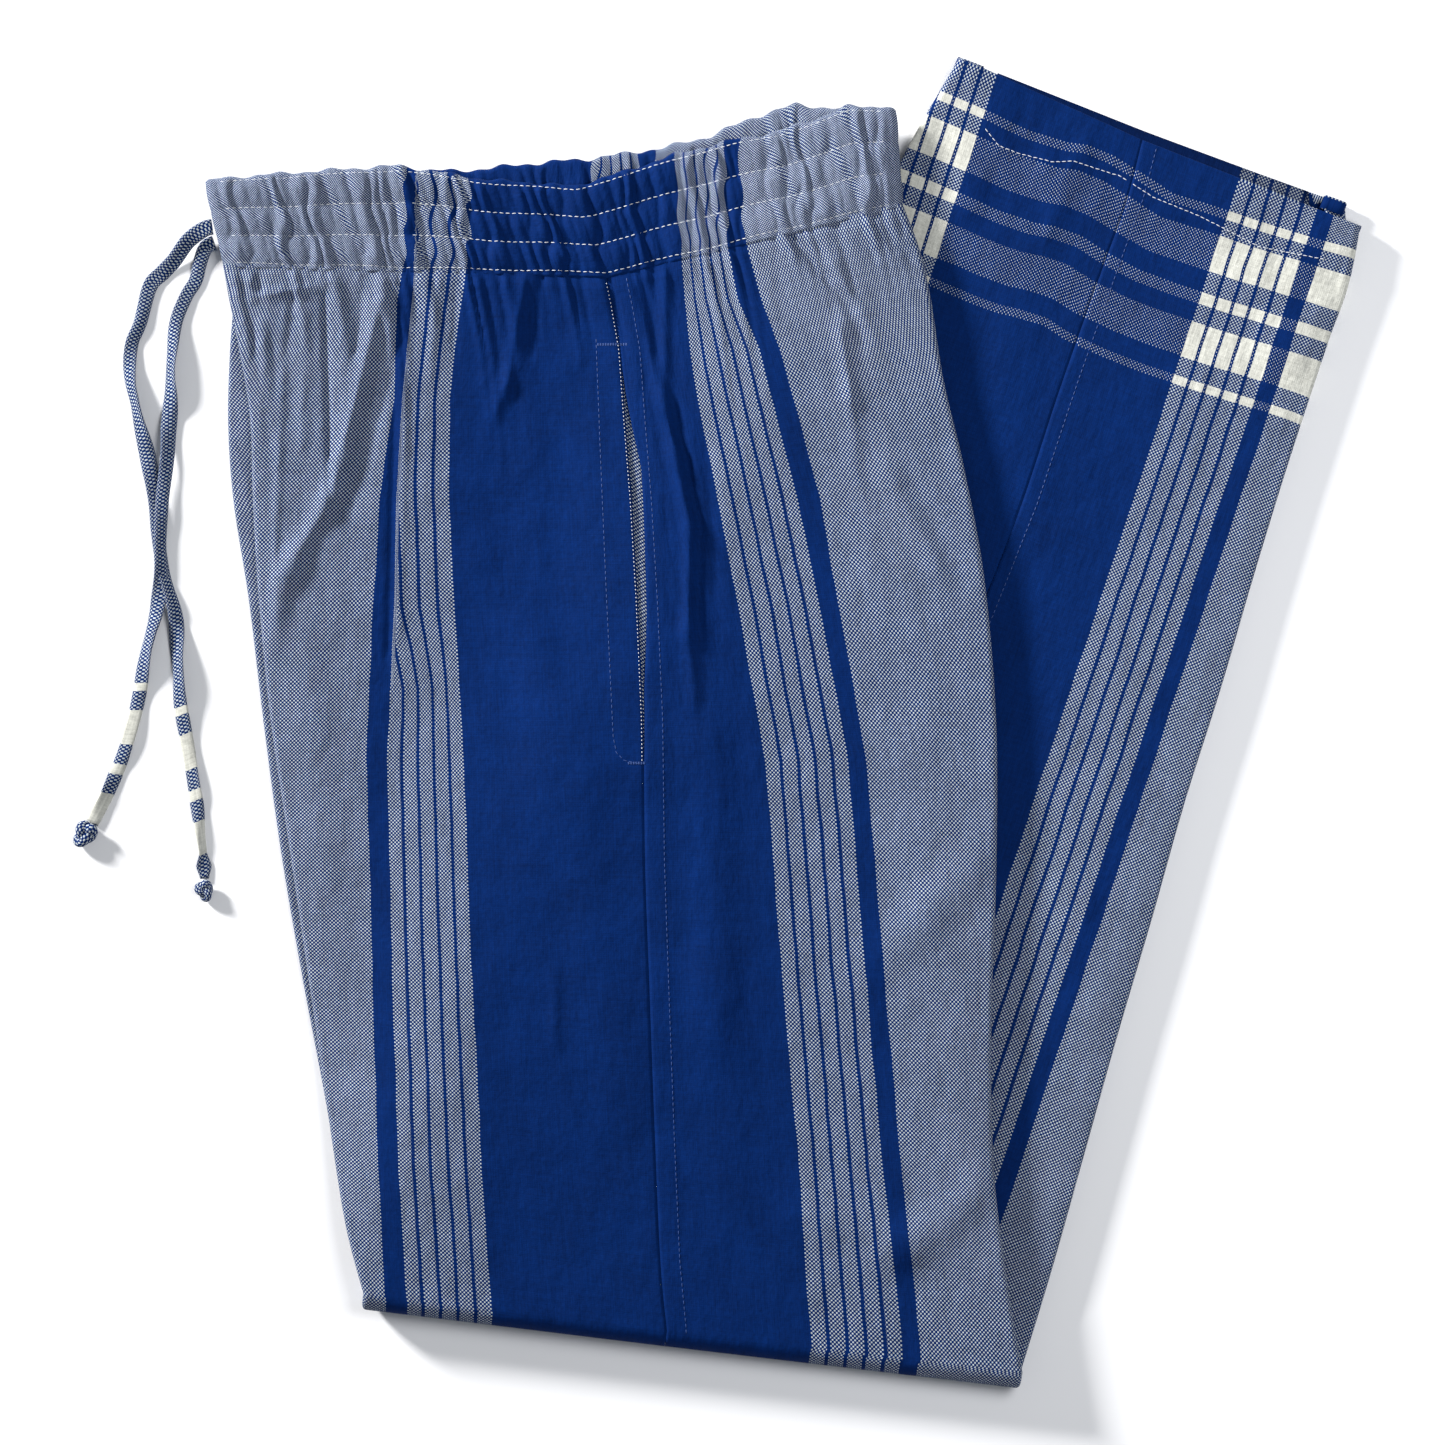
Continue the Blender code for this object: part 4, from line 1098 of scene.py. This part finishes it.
def leg_panel(name, side, top_leg, material):
    """One panel from the casing, round the knee, to the hem."""
    near, turn, far = panel_rows(top_leg)
    lower = LOWER.copy()
    if top_leg:
        lower[-1] = FAR_HEM
    knee = np.repeat(UPPER[-1:], len(turn), 0)
    parts = (
        panel_part("upper", side, top_leg, read_rows(UPPER, near), near, 0.0 * near),
        panel_part("turn", side, top_leg, knee, np.full(len(turn), LAST_STATION), turn),
        panel_part("lower", side, top_leg, read_rows(lower, far), far, 0.0 * far),
    )
    points = np.concatenate([part[0] for part in parts])
    warp = np.concatenate([part[1] for part in parts])
    walked = walked_lengths(points[:, 0])
    weft = np.repeat((walked[-1] - walked)[:, None], points.shape[1], 1)
    start = len(points) - len(far)
    weft[:start] += hem_distance(*[part[0, 0] for part in parts[2][2:]]) - weft[start, 0]
    weft[start:] = hem_distance(parts[2][2], parts[2][3])
    points, warp, weft = roll_hem(points, warp, weft, 1.0 if top_leg else -1.0)
    piece = grid_object(name, points, warp, weft)
    return piece, finish_sheet(piece, material, (side == "front") != top_leg)


# %% Make the four panels
legs = []
for node, side, top_leg in (
    ("left_front", "front", True),
    ("left_back", "back", True),
    ("right_front", "front", False),
    ("right_back", "back", False),
):
    piece, area = leg_panel(node + "_cloth", side, top_leg, kikoy)
    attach(piece, "root")
    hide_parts(node)
    legs.append(piece)

# %% [markdown]
# ## The inner faces of the legs
# Each leg has an inner face too, pressed between the outer ones. Only their hem
# edges show, one just past the other at the opening of the hem, so they are two
# plain sheets that follow the same stations. They wear a darker copy of the cloth,
# which is painted shade for the shadow between the layers.

# %% Inner sheets
def inner_sheet(name, height, reach):
    """Inner face of one leg, from under the casing to the hem."""
    near = np.linspace(0.4, LAST_STATION, 36)
    turn = np.radians(np.linspace(0.0, 180.0, 11)[1:-1])
    far = np.linspace(0.0, LAST_STATION, 60)
    lower = LOWER.copy()
    lower[-1] = FAR_HEM
    lower[-1, 1::3] += reach
    kinds = (("upper", read_rows(UPPER, near), 0.0 * near),
             ("turn", np.repeat(UPPER[-1:], len(turn), 0), turn),
             ("lower", read_rows(lower, far), 0.0 * far))
    rows = []
    for kind, stations, swing in kinds:
        x, y, inset = across_leg(stations, 17.0, 40)
        if kind == "upper":
            low = under_base(x, y)
            base = low + (top_base(x, y, inset) - low) * (height / STACK)
            rows.append(np.stack((x, y, base + height), -1))
            continue
        swings = np.repeat(swing[:, None], x.shape[1], 1)
        level = height + 0.25 * soft_ripple(x, y, 20.0, height)
        rows.append(set_points(kind, x, y, level, inset, swings, True))
    points = np.concatenate(rows)
    warp = lower_warp(points[:, :, 0], points[:, :, 1], "back")
    weft = np.repeat(np.linspace(1000.0, 0.0, len(points))[:, None], points.shape[1], 1)
    start = len(points) - len(far)
    weft[start:] = hem_distance(points[start:, :, 0], points[start:, :, 1])
    piece = grid_object(name, points, warp, weft)
    return piece, finish_sheet(piece, kikoy_inside_painted_shade, False)


def over_seam(front, seam, back, in_front, behind):
    """x and y of points on the way from the front over the seam to the back."""
    return [front[k] + (seam[k] - front[k]) * in_front + (back[k] - seam[k]) * behind
            for k in (0, 1)]


def across_leg(stations, inset, count):
    """Points across a leg over its seam, a little inside both creases."""
    front, seam, back = [stations[:, k:k + 2].T[:, :, None] for k in (0, 3, 5)]
    front_run = np.linalg.norm(seam - front, axis=0)
    back_run = np.linalg.norm(back - seam, axis=0)
    along = inset + (front_run + back_run - 2 * inset) * np.linspace(0.0, 1.0, count)[None, :]
    in_front = np.clip(along / front_run, 0.0, 1.0)
    behind = np.clip((along - front_run) / back_run, 0.0, 1.0)
    x, y = over_seam(front, seam, back, in_front, behind)
    return x, y, np.minimum(along, front_run + back_run - along)


# Height in the stack of legs, and how far the sheet reaches past the hem
for name, height, reach in (("inner_right_cloth", 2.9, 0.4), ("inner_left_cloth", 5.2, 1.2)):
    piece, area = inner_sheet(name, height, reach)
    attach(piece, "root")
    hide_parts("hidden_layers")

# %% [markdown]
# ## The waist casing
# The legs' own top edge is folded over elastic and stitched through in four rows,
# which leaves three puffed channels. The stripes run up into it, and each channel
# puckers in its own way. It is made as a folded strip: outside, over the top
# edge, and down the inside, for the near half and for the far half of the waist.

# %% Lines of the casing
# x and y of the top edge of the near half
NEAR_TOP = np.array((
    (-248.5, 233), (-224.7, 235), (-194.6, 237.1), (-164.5, 238.9), (-130.1, 233.3),
    (-89.2, 230.3), (-66.4, 236.9), (-45.8, 243.8), (-21.3, 250), (-2.4, 253.5),
    (16.1, 259.5), (28.2, 263.8), (48.3, 263.4),
))
# x and y of the top edge of the far half
FAR_TOP = np.array((
    (-248.5, 232), (-224.7, 234), (-194.6, 236), (-164.5, 238.2), (-138.7, 237.1),
    (-108.6, 240.2), (-82.8, 242.3), (-51.4, 247), (-30.7, 252.2), (-10.5, 260.8),
    (6.2, 265.5), (28.2, 263), (48.3, 262.8),
))
HALF_WAIST = 295.0
CASING_HEIGHT = 36.0
CASING_WALL = 2.6
# Height of each row of stitches on the casing
STITCH_ROWS = (0.7, 12.2, 23.8, 35.2)


def casing_places(top, across, along):
    """Plan of a point at a distance along the waist and up the casing."""
    share = across / HALF_WAIST
    seam_share = GATHERS_FRONT / GATHERS
    in_front = np.clip(share / seam_share, 0.0, 1.0)
    behind = np.clip((share - seam_share) / (1.0 - seam_share), 0.0, None)
    front, seam, back = UPPER[0, 0:2], UPPER[0, 3:5], UPPER[0, 5:7]
    low_x, low_y = over_seam(front, seam, back, in_front, behind)
    high_x = top[0, 0] + (top[-1, 0] - top[0, 0]) * share
    high_y = np.interp(high_x, top[:, 0], top[:, 1])
    part = along / CASING_HEIGHT
    return low_x + (high_x - low_x) * part, low_y + (high_y - low_y) * part


def casing_relief(turn, along):
    """Gathers and puffed channels between the stitched rows."""
    pitch = (STITCH_ROWS[-1] - STITCH_ROWS[0]) / 3.0
    channel = np.clip((along - STITCH_ROWS[0]) / pitch, 0.0, 2.999)
    puff = np.sin(np.pi * (channel - np.floor(channel))) ** 0.6
    shift = 0.16 * np.sin(2.1 * turn + 2.4 * np.floor(channel)) * puff
    lean = 0.14 * np.sin(0.19 * along + 1.7 * turn)
    wave = gather_wave(turn + shift + lean)
    fine = np.abs(np.sin(4.3 * turn + 0.5 * np.floor(channel) + 0.05 * along)) ** 0.6
    return 2.5 * wave * (0.62 + 0.38 * puff) + 0.25 * puff + 0.6 * fine * (0.4 + 0.6 * puff)


# %% Rows and columns of the casing
def casing_rows(near_half):
    """Distance up the casing, depth in its wall, and share of relief of each row."""
    count = int(40 * QUICK) + 4
    puckered = np.linspace(-1.2, CASING_HEIGHT, count)
    rim = [(36.7, 0.5), (37.1, 1.3), (36.7, 2.1)]
    if near_half:
        rows = [(-2.2, 1.6, 0.0)] + [(along, 0.0, 1.0) for along in puckered]
        rows += [(along, depth, 0.5) for along, depth in rim]
        return rows + [(along, CASING_WALL, 0.0) for along in (36.0, 30.0, 18.0, 6.0, 0.5)]
    rows = [(along, 0.0, 0.0) for along in (0.5, 12.0, 24.0, 36.0)]
    rows += [(along, depth, 0.0) for along, depth in rim]
    return rows + [(along, CASING_WALL, 1.0) for along in puckered[::-1]]


def casing_columns(per_gather):
    """Distance along the waist and angle round the end of each column."""
    corner = STACK / 2 - 0.15
    inner = np.linspace(corner, HALF_WAIST - corner, GATHERS * per_gather + 1)
    ends = np.radians((90.0, 75.0, 60.0, 45.0, 30.0, 15.0))
    side = np.concatenate((-np.ones(6), np.zeros(len(inner)), np.ones(6)))
    angle = np.concatenate((ends, np.zeros(len(inner)), ends[::-1]))
    across = np.concatenate((np.full(6, corner), inner, np.full(6, HALF_WAIST - corner)))
    return across, angle, side, corner


# %% Half a casing
def casing_half(name, top, near_half):
    """Puckered strip of one half of the waist."""
    across, angle, side, corner = casing_columns(max(4, int(11 * QUICK)))
    grid = []
    warps = []
    for along, depth, relief in casing_rows(near_half):
        turn = across / HALF_WAIST * GATHERS
        calm = ease(np.minimum(across, HALF_WAIST - across) / 9.0)
        lift = casing_relief(turn, along) * relief * calm
        if along > 35.9:
            lift = lift * 0.8
        depths = depth - lift if near_half else depth + 0.55 * lift
        spot = across + side * (corner - depths) * np.sin(angle)
        frill = 0.5 * np.sin(1.9 * turn) + 0.35 * np.sin(4.4 * turn + 1.0)
        edge = along + frill * calm * ease((along - 30.0) / 6.0)
        x, y = casing_places(top, spot, edge)
        low = under_base(x, y)
        soft = top_base(x, y, np.full_like(x, 60.0))
        share = np.clip(1.0 - along / 30.0, 0.0, 1.0) * calm if near_half else 0.0
        level = (corner - depths) * np.cos(angle)
        middle = low + (soft - low) * share + STACK / 2
        z = middle + 0.15 + level if near_half else middle - 0.15 - level
        grid.append(np.stack((x, y, z), -1))
        shift = 0.0 if near_half else np.interp(x, (-250, -170, -80, 50), (10, 12, 37, 37))
        pucker = 1.2 * np.sin(0.27 * along + 2.2 * turn + 1.4 * np.sin(1.7 * turn)) * ease(along / 6.0)
        warps.append(upper_warp(x + shift, y) + pucker)
    points = np.array(grid)
    weft = np.linspace(1000.0, 1080.0, len(points))[:, None]
    piece = grid_object(name, points, np.array(warps), weft)
    finish_sheet(piece, kikoy, not near_half)
    return piece


casings = []
for name, node, top, near_half in (
    ("waist_casing_left_cloth", "waist_casing_left", NEAR_TOP, True),
    ("waist_casing_right_cloth", "waist_casing_right", FAR_TOP, False),
):
    piece = casing_half(name, top, near_half)
    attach(piece, "root")
    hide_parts(node)
    casings.append(piece)

# %% [markdown]
# ## The pocket's facing
# In the gaping slit a strip of light cloth shows. It is cut from a pale part of
# the same cloth, lies just below the slit and tilts up towards the front edge.

# %% Pocket facing
def pocket_facing():
    """Strip behind the slit, a little higher at the front edge."""
    y = np.linspace(POCKET_TOP + 4.0, POCKET_BOTTOM - 4.0, int(90 * QUICK))[:, None]
    across = np.linspace(-8.0, 12.0, 24)[None, :]
    x = seam_x_at(y) + across
    y = np.repeat(y, across.size, 1)
    bow = 0.45 * np.exp(-((across - 0.6) / 1.6) ** 2)
    z = top_base(x, y, np.full_like(x, 60.0)) + 6.35 + bow + pocket_lift(x, y) * 0.9
    weft = 400.0 + y + 0.5 * across
    piece = grid_object("pocket_facing_cloth", np.stack((x, y, z), -1), 115.0 + across, weft)
    finish_sheet(piece, kikoy, True)
    return piece


facing = pocket_facing()
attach(facing, "root")
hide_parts("pocket_facing_left")

# %% [markdown]
# ## Stitches
# White thread holds the casing and the hem, and dark blue thread tops the side
# seams and the pocket. One stitch is modelled from a small sphere, stretched along
# the seam, and copied along each line. Each copy is dropped onto the cloth below
# it, so that it rides over folds and gathers.

# %% One stitch, and the cloth it is dropped on
def thread_material(name, colour):
    """Twisted cotton thread."""
    material, shader = new_material(name, 0.6)
    wires = Wires(material)
    place = wires.node("ShaderNodeTexCoord").outputs["Object"]
    noise = wires.node("ShaderNodeTexNoise")
    noise.inputs["Scale"].default_value = 2500.0
    wires.join(place, noise.inputs["Vector"])
    twist = noise.outputs["Fac"]
    dark = (*[v * 0.8 for v in colour], 1.0)
    wires.join(wires.mix(twist, dark, (*colour, 1.0)), shader.inputs["Base Color"])
    wires.join(wires.bump(twist, 0.4, 0.0001), shader.inputs["Normal"])
    return material


def model_stitch():
    """Corner points and faces of one stitch, 1 long, 1 wide and 1 high."""
    bpy.ops.object.select_all(action="DESELECT")
    bpy.ops.mesh.primitive_uv_sphere_add(segments=6, ring_count=4, radius=0.5)
    ball = bpy.context.object
    bpy.ops.object.mode_set(mode="EDIT")
    bpy.ops.mesh.select_all(action="SELECT")
    bpy.ops.transform.rotate(value=math.pi / 2, orient_axis="Y", center_override=(0, 0, 0))
    bpy.ops.object.mode_set(mode="OBJECT")
    points = np.array([tuple(vertex.co) for vertex in ball.data.vertices])
    faces = [tuple(face.vertices) for face in ball.data.polygons]
    bpy.data.objects.remove(ball, do_unlink=True)
    return points, faces


def cloth_tree(pieces):
    """Search tree over the outside of several pieces, in metres."""
    points = []
    faces = []
    for piece in pieces:
        start = len(points)
        points += [tuple(vertex.co) for vertex in piece.data.vertices]
        faces += [tuple(start + i for i in face.vertices) for face in piece.data.polygons]
    return BVHTree.FromPolygons(points, faces)


STITCH_POINTS, STITCH_FACES = model_stitch()
outer_cloth = cloth_tree(legs + casings[:1])
print("one stitch has", len(STITCH_FACES), "faces")


# %% Lines of stitches
def walk_line(line, pitch):
    """Stitch centres along a line of x, y points."""
    line = np.array(line, float)
    walked = walked_lengths(line)
    stops = np.arange(pitch / 2, walked[-1], pitch)
    x = np.interp(stops, walked, line[:, 0])
    y = np.interp(stops, walked, line[:, 1])
    return np.stack((x, y), 1)


def drop(tree, x, y):
    """Point and direction of the cloth's surface under x, y."""
    place, normal, _, _ = tree.ray_cast(Vector((x * MM, y * MM, 0.06)), Vector((0, 0, -1)))
    return place, normal


def stitch_line(tree, line, pitch, size):
    """Points of all the stitches of one line, length, width and height in size."""
    centres = walk_line(line, pitch)
    made = []
    for index, (x, y) in enumerate(centres):
        after = centres[min(index + 1, len(centres) - 1)]
        before = centres[max(index - 1, 0)]
        way = (after - before) / max(np.linalg.norm(after - before), 1e-6)
        wobble = 0.12 * math.sin(2.3 * index)
        start, normal = drop(tree, x - way[0] * size[0] / 2, y - way[1] * size[0] / 2 + wobble)
        end, _ = drop(tree, x + way[0] * size[0] / 2, y + way[1] * size[0] / 2 - wobble)
        if start is None or end is None or abs(start.z - end.z) > 0.003:
            continue
        along = (end - start).normalized()
        side = normal.cross(along).normalized()
        up = along.cross(side)
        frame_of = np.array((along * size[0], side * size[1], up * size[2])) * MM
        middle = np.array((start + end) / 2 + up * size[2] * 0.22 * MM)
        made.append(STITCH_POINTS @ frame_of + middle)
    return made


def stitch_piece(name, groups, material):
    """One mesh from many stitches."""
    points = np.concatenate(groups)
    faces = []
    for number in range(len(groups)):
        start = number * len(STITCH_POINTS)
        faces += [tuple(start + i for i in face) for face in STITCH_FACES]
    mesh = bpy.data.meshes.new(name)
    mesh.from_pydata(points.tolist(), [], faces)
    piece = add_object(name, mesh)
    smooth_faces(piece, material)
    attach(piece, "root")
    print(name, "stitches", len(groups))


# %% White thread
def casing_stitch_line(top, along):
    """Line round half the waist at a height on the casing."""
    across = np.linspace(6.0, HALF_WAIST - 6.0, 240)
    x, y = casing_places(top, across, along + 0.25 * np.sin(across / 7.0))
    return np.stack((x, y), 1)


white = []
for row in STITCH_ROWS:
    line = casing_stitch_line(NEAR_TOP, row)
    # The stitches sink in at both ends, so they are thinner there
    for low, high, width in ((-260, -160, 0.27), (-160, -15, 0.42), (-15, 80, 0.27)):
        part = line[(line[:, 0] > low) & (line[:, 0] <= high)]
        white += stitch_line(outer_cloth, part, 2.7, (1.9, width, width * 0.85))
# x and y of points along the stitched top of the hem
hem_line = [(87.0, 256.0), (93.0, 248.5), (101.3, 245.3), (116.3, 241.4), (124.9, 241.8),
            (145.1, 235.4), (160.0, 226.0), (179.0, 218.3), (205.0, 205.0), (233.5, 199.5)]
white += stitch_line(outer_cloth, hem_line, 2.5, (1.9, 0.42, 0.36))
slit = [(float(seam_x_at(y)) - 0.7, y) for y in np.linspace(190.0, -16.0, 60)]
white += stitch_line(outer_cloth, slit, 1.7, (0.7, 0.42, 0.3))
stitch_piece("white_stitches", white, thread_material("white_thread", (0.68, 0.70, 0.72)))

# %% Blue thread
BLUE_PITCH = 2.5
BLUE_SIZE = (1.8, 0.36, 0.3)
blue = []
seam_top = [(float(seam_x_at(y)) + 8.4, y) for y in np.linspace(192.0, -262.0, 120)]
blue += stitch_line(outer_cloth, seam_top, BLUE_PITCH, BLUE_SIZE)
pocket_line = [(-80.2, 165.8), (-78.4, 120.0), (-75.8, 60.0), (-72.6, -6.0), (-71.2, -12.5),
               (-68.0, -15.8), (-60.8, -17.4)]
blue += stitch_line(outer_cloth, pocket_line, BLUE_PITCH, BLUE_SIZE)
for y, left, right in ((163.0, -79.8, -66.9), (-17.0, -66.5, -58.8)):
    # Three lines close together make a bartack
    for row in (-0.35, 0.0, 0.35):
        blue += stitch_line(outer_cloth, [(left, y + row), (right, y + row)], 1.1, (0.9, 0.4, 0.3))
lower_seam = LOWER[:, 3:5] + np.array((7.8, 3.1))
blue += stitch_line(outer_cloth, lower_seam[6:], BLUE_PITCH, BLUE_SIZE)
stitch_piece("blue_stitches", blue, thread_material("blue_thread", (0.02, 0.06, 0.22)))
